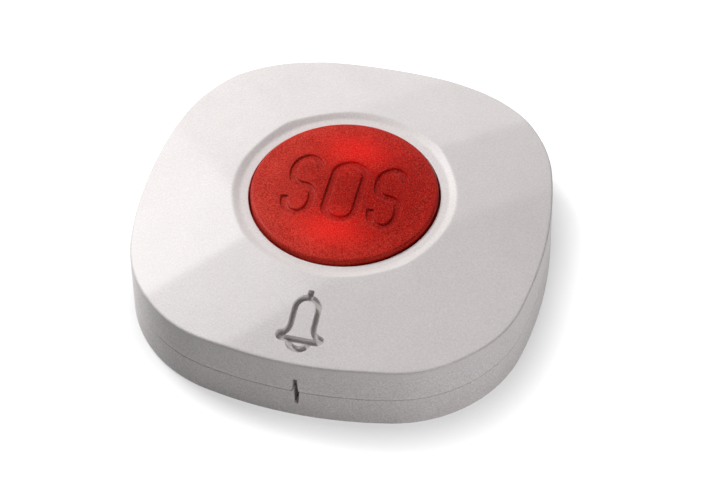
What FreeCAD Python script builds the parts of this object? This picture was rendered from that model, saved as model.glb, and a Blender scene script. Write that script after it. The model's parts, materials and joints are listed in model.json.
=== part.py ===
import FreeCAD, Part
import math
import os
import re
import Sketcher

# Wireless panic button: a faceted two-part case round a large sprung thumb cap.
# Frame: origin at the middle of the flat back, +Z out through the cap, -Y towards
# the prying slot, so that +X is to the right when the slot faces the reader.

SIZES = [
    # the case, across the flats at its foot
    ("case_half", 32.75, "half the width of the case at its foot"),
    ("side_bow_radius", 67.6, "radius of the four gently bowed sides"),
    ("corner_radius", 22.0, "radius of the four round corners"),
    ("case_draft", 3.05, "lean of the side walls, in degrees"),
    ("seam_height", 5.9, "where the two halves of the case meet"),
    ("rim_height", 12.2, "top of the side walls, where the facets start"),
    ("case_wall", 2.0, "thickness of the side walls"),
    ("top_wall", 1.8, "thickness of the case under the rim"),
    ("floor_thickness", 1.8, "thickness of the back"),
    ("foot_chamfer", 0.4, "broken edge round the foot"),
    ("rim_round", 0.45, "broken edge where walls and facets meet, from below the rim"),
    ("rim_lean", 45, "lean of that edge, in degrees"),
    # the facets
    ("crest_radius", 20.5, "where the four facets of a side cross, from the axis"),
    ("crest_rise", 2.72, "height of that crossing above the rim"),
    ("side_facet_inset", 1.55, "where the side facet is at rim height, in from the foot"),
    ("side_facet_half", 10.5, "half the width of the side facet at the rim"),
    ("corner_facet_inset", 7.95, "corner ridge at the rim, in from the foot in X and in Y"),
    ("inner_facet_rise", 0.3, "height of the inner facet at the dish, above the crossing"),
    # the dish round the cap and the collar behind it
    ("opening_radius", 15.0, "hole that the cap stands in"),
    ("dish_width", 2.5, "width of the dish round the hole"),
    ("dish_depth", 0.62, "how far the dish falls towards the hole"),
    ("shelf_width", 1.35, "gentle inner part of the dish"),
    ("shelf_rise", 0.08, "how far that part rises outwards"),
    ("bezel_thickness", 1.2, "thickness of the dish at the hole"),
    ("collar_wall", 1.2, "thickness of the guide collar"),
    ("collar_clearance", 0.3, "between the cap's flange and the collar"),
    ("key_width", 1.2, "rib that stops the cap turning"),
    ("key_depth", 0.9, "how far the rib stands in from the collar"),
    ("key_clearance", 0.25, "round the rib in the cap's notch"),
    # the cap
    ("cap_gap", 0.35, "between the cap and its hole"),
    ("cap_proud", 1.1, "top face of the cap above the edge of its hole"),
    ("cap_wall", 1.5, "thickness of the cap's top and skirt"),
    ("cap_round", 0.7, "rounding of the cap's top edge"),
    ("flange_overlap", 1.6, "flange that keeps the cap in, behind the edge of the hole"),
    ("flange_thickness", 1.0, "thickness of that flange"),
    ("press_travel", 0.8, "how far the cap goes in"),
    ("post_radius", 2.2, "post that presses the switch"),
    ("guide_wall", 0.8, "ring that centres the spring"),
    ("guide_depth", 0.9, "height of that ring"),
    ("guide_clearance", 0.2, "between that ring and the spring"),
    # the return spring
    ("spring_radius", 5.3, "to the middle of the wire"),
    ("spring_wire", 0.25, "radius of the wire"),
    ("spring_turns", 3.5, "turns"),
    ("spring_clearance", 0.03, "at each end of the spring"),
    # the circuit board and its screws
    ("board_margin", 6.4, "between the board and the inside of the case"),
    ("board_corner", 6.0, "radius of its corners"),
    ("board_thickness", 1.2, "thickness of the board"),
    ("screw_inset", 5.0, "board screws from the edges of the board"),
    ("screw_radius", 0.95, "shank of a board screw"),
    ("screw_head_radius", 1.8, "head of a board screw"),
    ("screw_head_height", 1.2, "height of that head"),
    ("screw_bite", 3.0, "how far a screw goes into its boss"),
    ("screw_clearance", 0.15, "round a shank in the board"),
    ("pilot_clearance", 0.04, "round a shank in its boss"),
    ("pilot_reserve", 0.4, "hole left past a screw's end"),
    ("boss_radius", 2.6, "bosses that carry the board"),
    # the snap joint between the halves
    ("tongue_offset", 1.2, "tongue of the rear half, in from the outer face"),
    ("tongue_height", 1.5, "height of that tongue above the seam"),
    ("tongue_clearance", 0.1, "round and above the tongue"),
    ("hook_width", 6.0, "width of a snap hook"),
    ("hook_thickness", 1.2, "thickness of its arm"),
    ("hook_gap", 0.3, "between its arm and the wall"),
    ("hook_nose", 0.6, "how far its nose reaches into the wall"),
    ("hook_top_gap", 0.5, "between a hook and the inside of the front"),
    ("catch_ledge", 0.7, "wall between the tongue's groove and the nose's pocket"),
    ("catch_clearance", 0.15, "round the nose in its pocket"),
    # the prying slot
    ("slot_rise", 2.7, "length of the slot above the seam"),
    ("slot_drop", 2.75, "length of the slot below the seam"),
    ("slot_width", 1.3, "width at the seam"),
    ("slot_top_width", 1.15, "width at the upper end"),
    ("slot_bottom_width", 0.75, "width at the lower end"),
    ("slot_depth", 0.8, "depth into the wall"),
    # inside the rear half
    ("wall_hole_offset", 20.0, "screw holes of the back, from the axis along Y"),
    ("wall_hole_radius", 2.0, "radius of those holes"),
    ("wall_rim_radius", 4.0, "raised rim round each hole"),
    ("wall_rim_height", 0.6, "height of that rim"),
    ("rest_radius", 5.0, "ring under the battery"),
    ("rest_wall", 1.0, "thickness of that ring"),
    ("rest_clearance", 0.1, "between that ring and the battery"),
    ("prop_x", 9.0, "props under the board, along X"),
    ("prop_y", 7.0, "props under the board, along Y"),
    ("prop_radius", 1.5, "radius of a prop"),
    ("prop_clearance", 0.1, "between a prop and the board"),
    # the push switch
    ("switch_half", 3.0, "half the width of the switch"),
    ("switch_height", 3.3, "height of its base"),
    ("switch_wall", 0.9, "base under the chamber"),
    ("switch_cover_thickness", 0.2, "sheet metal cover"),
    ("plunger_radius", 1.7, "stem of the plunger"),
    ("plunger_foot_radius", 2.25, "foot that holds it in"),
    ("plunger_foot_height", 0.5, "height of that foot"),
    ("plunger_clearance", 0.12, "round the plunger"),
    ("press_reserve", 0.1, "left between cap post and switch when pressed"),
    ("snap_disc_thickness", 0.12, "domed contact disc"),
    ("snap_disc_rise", 0.55, "height of its dome"),
    ("terminal_gap", 0.1, "between the switch and its terminals"),
    ("terminal_y", 2.25, "switch terminals, along Y"),
    ("terminal_thickness", 0.25, "thickness of a terminal"),
    ("terminal_width", 0.7, "width of a terminal"),
    ("terminal_rise", 1.0, "height of a terminal above the board"),
    ("lead_stub", 0.8, "leads below the board"),
    ("lead_clearance", 0.12, "round a lead in the board"),
    # the two indicator lamps
    ("led_offset", 8.5, "lamps from the axis, along Y"),
    ("led_radius", 1.5, "radius of a lamp"),
    ("led_rim_radius", 1.85, "rim at its foot"),
    ("led_rim_height", 0.8, "height of that rim"),
    ("led_standoff", 0.6, "lamp above the board"),
    ("led_clearance", 0.4, "between a lamp and the pressed cap"),
    ("led_lead_half", 1.27, "leads of a lamp, from its middle"),
    ("led_lead_width", 0.5, "square section of a lead"),
    # the coin cell, its holder and contacts
    ("cell_x", 16.0, "middle of the cell, from the axis towards -X"),
    ("cell_radius", 10.0, "radius of the cell"),
    ("cell_thickness", 3.2, "thickness of the cell"),
    ("cell_cap_radius", 8.8, "raised negative face"),
    ("cell_cap_rise", 0.25, "height of that face"),
    ("cell_edge", 0.35, "broken edges of the can"),
    ("cell_floor_gap", 0.8, "between the cell and the back"),
    ("cell_space", 1.0, "between the cell and the board"),
    ("holder_clearance", 0.15, "between the cell and its holder"),
    ("holder_wall", 1.1, "thickness of the holder"),
    ("holder_ledge", 1.0, "ledge that the cell rests against"),
    ("holder_gap_half", 4.0, "half the width of the holder's two gaps"),
    ("holder_lip", 0.6, "lips that hold the cell, inwards"),
    ("holder_lip_height", 0.4, "height of those lips"),
    ("contact_thickness", 0.2, "sheet of the battery contacts"),
    ("contact_half_width", 2.5, "half the width of a contact"),
    ("contact_finger", 2.0, "positive finger under the cell's edge"),
    ("contact_foot", 2.2, "foot of a contact on the board"),
    ("contact_dimple", 1.2, "half the length that touches the cell"),
    ("contact_clearance", 0.1, "round the negative contact in the holder"),
    # the aerial and the small parts on the board
    ("aerial_inset", 2.6, "axis of the aerial, in from the edge of the board"),
    ("aerial_radius", 1.4, "to the middle of its wire"),
    ("aerial_wire", 0.3, "radius of its wire"),
    ("aerial_length", 13.0, "length of the coil"),
    ("aerial_turns", 6.0, "turns of the coil"),
    ("aerial_lift", 0.15, "coil above the board"),
    ("controller_x", 11.5, "controller chip, along X"),
    ("controller_y", 1.0, "controller chip, along Y"),
    ("controller_half_x", 1.95, "half its width"),
    ("controller_half_y", 4.3, "half its length"),
    ("controller_height", 1.6, "top of the chip above the board"),
    ("chip_lift", 0.15, "chips above the board"),
    ("chip_lead_pitch", 1.27, "pitch of its leads"),
    ("chip_lead_count", 7, "leads on one side"),
    ("chip_lead_width", 0.4, "width of a lead"),
    ("chip_lead_reach", 1.0, "how far a lead stands out"),
    ("chip_lead_thickness", 0.2, "thickness of a lead"),
    ("radio_x", 9.0, "radio chip, along X"),
    ("radio_inset", 8.5, "radio chip, in from the edge of the board"),
    ("radio_half", 1.6, "half the width of the radio chip"),
    ("radio_height", 0.9, "height of the radio chip"),
    ("crystal_x", 12.5, "crystal, along X"),
    ("crystal_y", 9.5, "crystal, along Y"),
    ("crystal_half_x", 2.5, "half its length"),
    ("crystal_half_y", 1.6, "half its width"),
    ("crystal_height", 1.2, "height of the crystal"),
    ("crystal_round", 0.5, "rounding of its can"),
    ("choke_x", 3.5, "choke of the aerial, along X"),
    ("choke_inset", 7.5, "choke of the aerial, in from the edge of the board"),
    ("choke_radius", 1.5, "radius of its flanges"),
    ("choke_core_radius", 1.05, "radius of its waist"),
    ("choke_height", 2.0, "height of the choke"),
    ("choke_flange", 0.5, "thickness of its flanges"),
    ("passive_x", 12.0, "first small part, along X"),
    ("passive_inset", 7.7, "last row of small parts, in from the edge of the board"),
    ("passive_pitch_x", 3.2, "columns of small parts"),
    ("passive_pitch_y", 2.6, "rows of small parts"),
    ("passive_half_x", 1.0, "half the length of a small part"),
    ("passive_half_y", 0.62, "half its width"),
    ("capacitor_height", 0.9, "height of a capacitor"),
    ("resistor_height", 0.5, "height of a resistor"),
    # allowances that shape nothing by themselves
    ("cut_margin", 1.5, "how far a cutting tool overshoots"),
    ("bond", 0.3, "how far joined features run into each other"),
]
ALIASES = {alias for alias, value, meaning in SIZES}

# Sizes that several pieces share, worked out from the sheet.
SEAM_INSET = "(seam_height * tan(case_draft))"
INNER_INSET = f"({SEAM_INSET} + case_wall)"
INNER_HALF = f"(case_half - {INNER_INSET})"
CEILING = "(rim_height - top_wall)"
WALL_TOP = "(rim_height - rim_round)"
CREST = "(rim_height + crest_rise)"
SIDE_REACH = "(case_half - side_facet_inset)"
CORNER_REACH = "(case_half - corner_facet_inset)"
DISH_RADIUS = "(opening_radius + dish_width)"
DISH_TOP = f"({CREST} + inner_facet_rise)"
LIP = f"({DISH_TOP} - dish_depth)"
CAP_SEAT = f"({LIP} - bezel_thickness)"
TOOL_TOP = f"({DISH_TOP} + cut_margin)"
CAP_TOP = f"({LIP} + cap_proud)"
CAP_RADIUS = "(opening_radius - cap_gap)"
CAP_CEILING = f"({CAP_TOP} - cap_wall)"
FLANGE_RADIUS = "(opening_radius + flange_overlap)"
COLLAR_RADIUS = f"({FLANGE_RADIUS} + collar_clearance)"
CELL_BOTTOM = "(floor_thickness + cell_floor_gap)"
CELL_TOP = f"({CELL_BOTTOM} + cell_thickness)"
BOARD_BOTTOM = f"({CELL_TOP} + cell_space)"
BOARD_TOP = f"({BOARD_BOTTOM} + board_thickness)"
BOARD_HALF = f"({INNER_HALF} - board_margin)"
SCREW_OFFSET = f"({BOARD_HALF} - screw_inset)"
SWITCH_TOP = f"({BOARD_TOP} + switch_height + switch_cover_thickness)"
PLUNGER_TOP = f"({SWITCH_TOP} + press_travel + press_reserve)"
TERMINAL_X = "(switch_half + terminal_gap + terminal_thickness / 2)"
CATCH_BOTTOM = "(seam_height + tongue_height + tongue_clearance + catch_ledge)"
AERIAL_Y = f"({BOARD_HALF} - aerial_inset)"
RADIO_Y = f"({BOARD_HALF} - radio_inset)"
NEGATIVE_FOOT = "(-cell_x - cell_radius + holder_clearance)"

doc = FreeCAD.newDocument("PanicButton")
sheet = doc.addObject("Spreadsheet::Sheet", "Sizes")
for row, (alias, value, meaning) in enumerate(SIZES, start=1):
    sheet.set(f"A{row}", meaning)
    sheet.set(f"B{row}", str(value))
    sheet.setAlias(f"B{row}", alias)
doc.recompute()


def linked(text):
    """Point every size name in an expression at its cell of the sheet."""
    def cell(word):
        return f"Sizes.{word[0]}" if word[0] in ALIASES else word[0]
    return re.sub(r"[a-z]\w*", cell, text)


def number(text):
    """The present value of an expression, to draw a sketch near its solution."""
    return float(sheet.evalExpression(linked(text)))


def new_body(label):
    """A part design body that carries the name of the piece."""
    body = doc.addObject("PartDesign::Body", label)
    body.Label = label
    body.AllowCompound = True
    return body


def origin_feature(body, role):
    """One of the body's own origin planes or axes."""
    return next(feature for feature in body.Origin.OriginFeatures if feature.Role == role)


def new_sketch(body, name, role="XY_Plane", lift="0", turn=None):
    """A sketch on an origin plane, moved along its normal and turned about Z."""
    sketch = body.newObject("Sketcher::SketchObject", f"{body.Label}_{name}")
    sketch.AttachmentSupport = [(origin_feature(body, role), "")]
    sketch.MapMode = "FlatFace"
    if turn is not None:
        sketch.AttachmentOffset = FreeCAD.Placement(
            FreeCAD.Vector(), FreeCAD.Rotation(FreeCAD.Vector(0, 1, 0), number(turn)))
        sketch.setExpression("AttachmentOffset.Rotation.Angle", linked(turn))
    sketch.setExpression("AttachmentOffset.Base.z", linked(lift))
    return sketch


def dimension(sketch, kind, elements, text):
    """Add one driving dimension and bind it to the sheet."""
    index = sketch.addConstraint(Sketcher.Constraint(kind, *elements, number(text)))
    sketch.setExpression(f"Constraints[{index}]", linked(text))


def fix_point(sketch, geometry, end, across, upward):
    """Dimension one point of the sketch from its origin."""
    if across == "0":
        sketch.addConstraint(Sketcher.Constraint("PointOnObject", geometry, end, -2))
    else:
        dimension(sketch, "DistanceX", (-1, 1, geometry, end), across)
    if upward == "0":
        sketch.addConstraint(Sketcher.Constraint("PointOnObject", geometry, end, -1))
    else:
        dimension(sketch, "DistanceY", (-1, 1, geometry, end), upward)


def draw_polygon(sketch, corners):
    """A closed outline of straight lines through (across, upward) corners."""
    places = [FreeCAD.Vector(number(across), number(upward), 0) for across, upward in corners]
    first = sketch.GeometryCount
    count = len(corners)
    for index in range(count):
        sketch.addGeometry(Part.LineSegment(places[index], places[(index + 1) % count]))
    for index, (across, upward) in enumerate(corners):
        before = first + (index - 1) % count
        sketch.addConstraint(Sketcher.Constraint("Coincident", before, 2, first + index, 1))
        fix_point(sketch, first + index, 1, across, upward)


def draw_box(sketch, left, right, low, high):
    """A rectangle between two pairs of sides."""
    draw_polygon(sketch, [(left, low), (right, low), (right, high), (left, high)])


def draw_circle(sketch, radius, across="0", upward="0"):
    """A circle about a dimensioned centre."""
    centre = FreeCAD.Vector(number(across), number(upward), 0)
    index = sketch.addGeometry(Part.Circle(centre, FreeCAD.Vector(0, 0, 1), number(radius)))
    dimension(sketch, "Radius", (index,), radius)
    fix_point(sketch, index, 3, across, upward)


def draw_case_outline(sketch, inset):
    """The square with bowed sides and round corners, a given way in from the foot of the case."""
    bow = number(f"side_bow_radius - {inset}")
    corner = number(f"corner_radius - {inset}")
    back = number("side_bow_radius - case_half")
    reach = (math.sqrt(2 * (bow - corner) ** 2 - back ** 2) - back) / 2
    lean = math.atan2(reach, reach + back)
    first = sketch.GeometryCount
    for quarter in range(4):
        side = quarter * math.pi / 2
        for centre_angle, centre_distance, radius, start, stop in (
                (side, -back, bow, side - lean, side + lean),
                (side + math.pi / 4, reach * math.sqrt(2), corner, side + lean, side + math.pi / 2 - lean)):
            centre = FreeCAD.Vector(math.cos(centre_angle), math.sin(centre_angle), 0) * centre_distance
            circle = Part.Circle(centre, FreeCAD.Vector(0, 0, 1), radius)
            sketch.addGeometry(Part.ArcOfCircle(circle, start, stop))
    for index in range(8):
        sketch.addConstraint(Sketcher.Constraint("Tangent", first + index, 2, first + (index + 1) % 8, 1))
        radius = "corner_radius" if index % 2 else "side_bow_radius"
        dimension(sketch, "Radius", (first + index,), f"{radius} - {inset}")
    behind, ahead = "case_half - side_bow_radius", "side_bow_radius - case_half"
    for index, place in ((0, (behind, "0")), (2, ("0", behind)), (4, (ahead, "0")), (6, ("0", ahead))):
        fix_point(sketch, first + index, 3, *place)


def finish(body, feature):
    """Make a feature the tip of its body."""
    body.Tip = feature
    return feature


def extrude(kind, body, sketch, length, middle=False, flip=False, taper=None):
    """Pad or pocket a sketch by an expression."""
    feature = body.newObject(f"PartDesign::{kind}", f"{sketch.Name}_{kind.lower()}")
    feature.Profile = sketch
    feature.Reversed = flip
    if middle:
        feature.SideType = "Symmetric"
    feature.setExpression("Length", linked(length))
    if taper:
        feature.setExpression("TaperAngle", linked(taper))
    sketch.Visibility = False
    return finish(body, feature)


def pad(body, sketch, length, **options):
    return extrude("Pad", body, sketch, length, **options)


def pocket(body, sketch, length, **options):
    return extrude("Pocket", body, sketch, length, **options)


def turn_profile(kind, body, sketch, axis="V_Axis"):
    """Revolve or groove a sketch a full turn about one of its own axes."""
    feature = body.newObject(f"PartDesign::{kind}", f"{sketch.Name}_{kind.lower()}")
    feature.Profile = sketch
    feature.ReferenceAxis = (sketch, [axis])
    feature.Angle = 360
    return finish(body, feature)


def around(body, features, count, name):
    """Repeat features evenly about the axis of the case."""
    pattern = body.newObject("PartDesign::PolarPattern", f"{body.Label}_{name}")
    pattern.Originals = features
    pattern.Axis = (origin_feature(body, "Z_Axis"), [""])
    pattern.Angle = 360
    pattern.Occurrences = count
    return finish(body, pattern)


def dress(kind, body, sizes, wanted, name):
    """Fillet or chamfer the edges of the tip that a test picks out."""
    doc.recompute()
    base = body.Tip
    edges = [f"Edge{index}" for index, edge in enumerate(base.Shape.Edges, start=1) if wanted(edge)]
    feature = body.newObject(f"PartDesign::{kind}", f"{body.Label}_{name}")
    feature.Base = (base, edges)
    feature.setExpression("Radius" if kind == "Fillet" else "Size", linked(sizes))
    return finish(body, feature)


def at_height(level, radius=None):
    """A test for edges that lie level, and for round ones of a given radius too."""
    def wanted(edge):
        box = edge.BoundBox
        flat = abs(box.ZMin - number(level)) < 1e-4 and abs(box.ZMax - number(level)) < 1e-4
        if radius is None or not flat:
            return flat
        return isinstance(edge.Curve, Part.Circle) and abs(edge.Curve.Radius - number(radius)) < 1e-4
    return wanted


def cut_facet(body, name, turn, start, end):
    """Slice the crown off above a slanting plane through two (reach, height) points."""
    slope = f"(({end[1]}) - ({start[1]})) / (({start[0]}) - ({end[0]}))"
    outer = "(case_half + cut_margin)"
    low = f"({start[1]}) - ({outer} - ({start[0]})) * {slope}"
    inner = f"({start[0]}) - ({TOOL_TOP} - ({start[1]})) / ({slope})"
    sketch = new_sketch(body, name, "XZ_Plane", turn=turn)
    draw_polygon(sketch, [(outer, low), (outer, TOOL_TOP), (inner, TOOL_TOP)])
    cut = pocket(body, sketch, "4 * case_half", middle=True)
    around(body, [cut], 4, f"{name}_sides")


def cut_slot(body, end_width, end_height):
    """Half of the prying slot in the wall on the -Y side, from the seam to one end."""
    slot = new_sketch(body, "slot", "XZ_Plane", lift="case_half + cut_margin")
    draw_polygon(slot, [
        ("-slot_width / 2", "seam_height"), ("slot_width / 2", "seam_height"),
        (f"{end_width} / 2", end_height), (f"-{end_width} / 2", end_height)])
    pocket(body, slot, f"cut_margin + {SEAM_INSET} + slot_depth")


def front_cover():
    """Faceted moulded half with the dish, the guide collar, the board bosses and the catches."""
    body = new_body("front_cover")
    outline = new_sketch(body, "outline", lift="seam_height")
    draw_case_outline(outline, SEAM_INSET)
    pad(body, outline, f"{WALL_TOP} - seam_height", taper="-case_draft")
    crown = new_sketch(body, "crown", lift=WALL_TOP)
    draw_case_outline(crown, f"({WALL_TOP} * tan(case_draft))")
    pad(body, crown, f"{TOOL_TOP} - {WALL_TOP}", taper="-rim_lean")
    crest = ("crest_radius", CREST)
    cut_facet(body, "side_facet", "0", (SIDE_REACH, "rim_height"), crest)
    bearing = f"atan(({CORNER_REACH} - side_facet_half) / ({SIDE_REACH} - {CORNER_REACH}))"
    corner_start = (f"side_facet_half * cos({bearing}) + {SIDE_REACH} * sin({bearing})", "rim_height")
    corner_crest = (f"crest_radius * sin({bearing})", CREST)
    cut_facet(body, "left_facet", bearing, corner_start, corner_crest)
    cut_facet(body, "right_facet", f"90 deg - {bearing}", corner_start, corner_crest)
    cut_facet(body, "inner_facet", "0", crest, (DISH_RADIUS, DISH_TOP))

    dish = new_sketch(body, "dish", "XZ_Plane")
    dish_slope = "((dish_depth - shelf_rise) / (dish_width - shelf_width))"
    draw_polygon(dish, [
        ("0", TOOL_TOP), ("0", LIP), ("opening_radius", LIP),
        ("opening_radius + shelf_width", f"{LIP} + shelf_rise"),
        (f"{DISH_RADIUS} + cut_margin", f"{DISH_TOP} + cut_margin * {dish_slope}"),
        (f"{DISH_RADIUS} + cut_margin", TOOL_TOP)])
    turn_profile("Groove", body, dish)
    opening = new_sketch(body, "opening", lift="seam_height")
    draw_circle(opening, "opening_radius")
    pocket(body, opening, f"{TOOL_TOP} - seam_height", flip=True)

    cavity = new_sketch(body, "cavity", lift="seam_height")
    draw_case_outline(cavity, INNER_INSET)
    pocket(body, cavity, f"{CEILING} - seam_height", flip=True)
    collar_outer = f"({COLLAR_RADIUS} + collar_wall)"
    ceiling = new_sketch(body, "ceiling", "XZ_Plane")
    draw_polygon(ceiling, [
        (collar_outer, f"{CEILING} - bond"), (INNER_HALF, f"{CEILING} - bond"), (INNER_HALF, CEILING),
        (collar_outer, CAP_SEAT)])
    turn_profile("Groove", body, ceiling)
    collar = new_sketch(body, "collar_bore", lift="seam_height")
    draw_circle(collar, COLLAR_RADIUS)
    pocket(body, collar, f"{CAP_SEAT} - seam_height", flip=True)
    key = new_sketch(body, "key", lift=CEILING)
    draw_box(key, "-key_width / 2", "key_width / 2",
             f"{COLLAR_RADIUS} - key_depth", f"{COLLAR_RADIUS} + bond")
    pad(body, key, f"{CAP_SEAT} + bond - {CEILING}")

    boss = new_sketch(body, "boss", lift=BOARD_TOP)
    draw_circle(boss, "boss_radius", SCREW_OFFSET, SCREW_OFFSET)
    boss_pad = pad(body, boss, f"rim_height - {BOARD_TOP}")
    around(body, [boss_pad], 4, "bosses")
    pilot = new_sketch(body, "pilot", lift=BOARD_TOP)
    draw_circle(pilot, "screw_radius + pilot_clearance", SCREW_OFFSET, SCREW_OFFSET)
    pilot_cut = pocket(body, pilot, "screw_bite + pilot_reserve", flip=True)
    around(body, [pilot_cut], 4, "pilots")

    groove = new_sketch(body, "tongue_groove", lift="seam_height")
    draw_case_outline(groove, f"({SEAM_INSET} + tongue_offset - tongue_clearance)")
    pocket(body, groove, "tongue_height + tongue_clearance", flip=True)
    catch = new_sketch(body, "catch", "XZ_Plane")
    draw_box(catch, f"{INNER_HALF} - 2 * bond", f"{INNER_HALF} + hook_nose + catch_clearance",
             CATCH_BOTTOM, CEILING)
    catch_cut = pocket(body, catch, "hook_width + 2 * catch_clearance", middle=True)
    around(body, [catch_cut], 4, "catches")
    cut_slot(body, "slot_top_width", "seam_height + slot_rise")
    return body


def rear_cover():
    """Back half: a tray with the tongue, the snap hooks, the wall screw holes and the ribs."""
    body = new_body("rear_cover")
    foot = new_sketch(body, "outline")
    draw_case_outline(foot, "0")
    pad(body, foot, "seam_height", taper="-case_draft")
    dress("Chamfer", body, "foot_chamfer", at_height("0"), "foot")
    tongue = new_sketch(body, "tongue", lift="seam_height - bond")
    draw_case_outline(tongue, f"({SEAM_INSET} + tongue_offset)")
    pad(body, tongue, "tongue_height + bond")
    tray = new_sketch(body, "tray", lift="floor_thickness")
    draw_case_outline(tray, INNER_INSET)
    pocket(body, tray, "seam_height + tongue_height", flip=True)

    arm_outer = f"({INNER_HALF} - hook_gap)"
    nose_low = f"({CATCH_BOTTOM} + catch_clearance)"
    hook_top = f"({CEILING} - hook_top_gap)"
    hook = new_sketch(body, "hook", "XZ_Plane")
    draw_polygon(hook, [
        (f"{arm_outer} - hook_thickness", "floor_thickness - bond"), (arm_outer, "floor_thickness - bond"),
        (arm_outer, nose_low), (f"{INNER_HALF} + hook_nose", nose_low),
        (arm_outer, hook_top), (f"{arm_outer} - hook_thickness", hook_top)])
    hook_pad = pad(body, hook, "hook_width", middle=True)
    around(body, [hook_pad], 4, "hooks")

    rims = new_sketch(body, "wall_rims", lift="floor_thickness - bond")
    holes = new_sketch(body, "wall_holes")
    for place in ("wall_hole_offset", "-wall_hole_offset"):
        draw_circle(rims, "wall_rim_radius", "0", place)
        draw_circle(holes, "wall_hole_radius", "0", place)
    pad(body, rims, "wall_rim_height + bond")
    pocket(body, holes, "floor_thickness + wall_rim_height + cut_margin", flip=True)
    rest = new_sketch(body, "cell_rest", lift="floor_thickness - bond")
    draw_circle(rest, "rest_radius", "-cell_x")
    draw_circle(rest, "rest_radius - rest_wall", "-cell_x")
    pad(body, rest, "cell_floor_gap - rest_clearance + bond")
    props = new_sketch(body, "props", lift="floor_thickness - bond")
    draw_circle(props, "prop_radius", "prop_x", "prop_y")
    draw_circle(props, "prop_radius", "prop_x", "-prop_y")
    pad(body, props, f"{BOARD_BOTTOM} - prop_clearance - floor_thickness + bond")
    cut_slot(body, "slot_bottom_width", "seam_height - slot_drop")
    return body


def button_cap():
    """Hollow thumb cap with its keeping flange, its keyway and the post that presses the switch."""
    body = new_body("button_cap")
    flange_low = f"({CAP_SEAT} - flange_thickness)"
    profile = new_sketch(body, "profile", "XZ_Plane")
    draw_polygon(profile, [
        ("0", PLUNGER_TOP), ("post_radius", PLUNGER_TOP), ("post_radius", CAP_CEILING),
        (f"{CAP_RADIUS} - cap_wall", CAP_CEILING), (f"{CAP_RADIUS} - cap_wall", flange_low),
        (FLANGE_RADIUS, flange_low), (FLANGE_RADIUS, CAP_SEAT),
        (CAP_RADIUS, CAP_SEAT), (CAP_RADIUS, CAP_TOP), ("0", CAP_TOP)])
    turn_profile("Revolution", body, profile)
    dress("Fillet", body, "cap_round", at_height(CAP_TOP, CAP_RADIUS), "edge")
    guide_outer = "(spring_radius - spring_wire - guide_clearance)"
    guide = new_sketch(body, "spring_guide", lift=f"{CAP_CEILING} - guide_depth")
    draw_circle(guide, guide_outer)
    draw_circle(guide, f"{guide_outer} - guide_wall")
    pad(body, guide, "guide_depth + bond")
    half = "(key_width / 2 + key_clearance)"
    notch = new_sketch(body, "keyway", lift=f"{flange_low} - cut_margin")
    draw_box(notch, f"-{half}", half,
             f"{COLLAR_RADIUS} - key_depth - key_clearance", f"{FLANGE_RADIUS} + cut_margin")
    pocket(body, notch, "flange_thickness + cut_margin", flip=True)
    return body


def wound_wire(foot, axis, spoke, rise, turns, wire, tail=0):
    """Round wire wound about an axis after a straight tail, each half turn an arc in a slanting plane."""
    halves = round(2 * turns)

    def place(half_turns):
        turned = FreeCAD.Rotation(axis, 180 * half_turns).multVec(spoke)
        return foot + axis * (rise * half_turns / halves) + turned

    path = [Part.Arc(place(half), place(half + 0.5), place(half + 1)).toShape() for half in range(halves)]
    heading = axis.cross(spoke).normalize()
    start = place(0) - heading * tail
    if tail:
        path.insert(0, Part.LineSegment(start, place(0)).toShape())
    section = Part.Wire(Part.makeCircle(wire, start, heading))
    return Part.Wire(path).makePipeShell([section], True, False)


def new_feature(label, shape):
    """A piece whose shape is worked out here from the sheet."""
    feature = doc.addObject("Part::Feature", label)
    feature.Label = label
    feature.Shape = shape
    feature.Placement = FreeCAD.Placement()
    return feature


def return_spring():
    """Open coil spring round the switch, from the board to the underside of the cap."""
    foot = FreeCAD.Vector(0, 0, number(f"{BOARD_TOP} + spring_clearance + spring_wire"))
    rise = number(f"{CAP_CEILING} - {BOARD_TOP} - 2 * spring_clearance - 2 * spring_wire")
    return new_feature("return_spring", wound_wire(
        foot, FreeCAD.Vector(0, 0, 1), FreeCAD.Vector(number("spring_radius"), 0, 0), rise,
        number("spring_turns"), number("spring_wire")))


def main_board():
    """Circuit board, drilled for its screws and for every lead that passes through it."""
    body = new_body("main_board")
    outline = new_sketch(body, "outline", lift=BOARD_BOTTOM)
    draw_box(outline, f"-{BOARD_HALF}", BOARD_HALF, f"-{BOARD_HALF}", BOARD_HALF)
    pad(body, outline, "board_thickness")
    dress("Fillet", body, "board_corner", lambda edge: edge.BoundBox.ZLength > 0.5, "corners")
    drill = new_sketch(body, "screw_hole", lift=f"{BOARD_BOTTOM} - cut_margin")
    draw_circle(drill, "screw_radius + screw_clearance", SCREW_OFFSET, SCREW_OFFSET)
    drill_cut = pocket(body, drill, "board_thickness + 2 * cut_margin", flip=True)
    around(body, [drill_cut], 4, "screw_holes")
    leads = new_sketch(body, "lead_holes", lift=f"{BOARD_BOTTOM} - cut_margin")
    switch_hole = f"({diagonal('terminal_thickness', 'terminal_width')} + lead_clearance)"
    led_hole = f"({diagonal('led_lead_width', 'led_lead_width')} + lead_clearance)"
    for side in ("", "-"):
        for end in ("", "-"):
            draw_circle(leads, switch_hole, f"{side}{TERMINAL_X}", f"{end}terminal_y")
            draw_circle(leads, led_hole, f"{side}led_lead_half", f"{end}led_offset")
    draw_circle(leads, "aerial_wire + lead_clearance", "-aerial_length / 2", f"{AERIAL_Y} + aerial_radius")
    pocket(body, leads, "board_thickness + 2 * cut_margin", flip=True)
    return body


def diagonal(one, other):
    """Half the diagonal of a rectangular section."""
    return f"sqrt(({one}) * ({one}) + ({other}) * ({other})) / 2"


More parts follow.
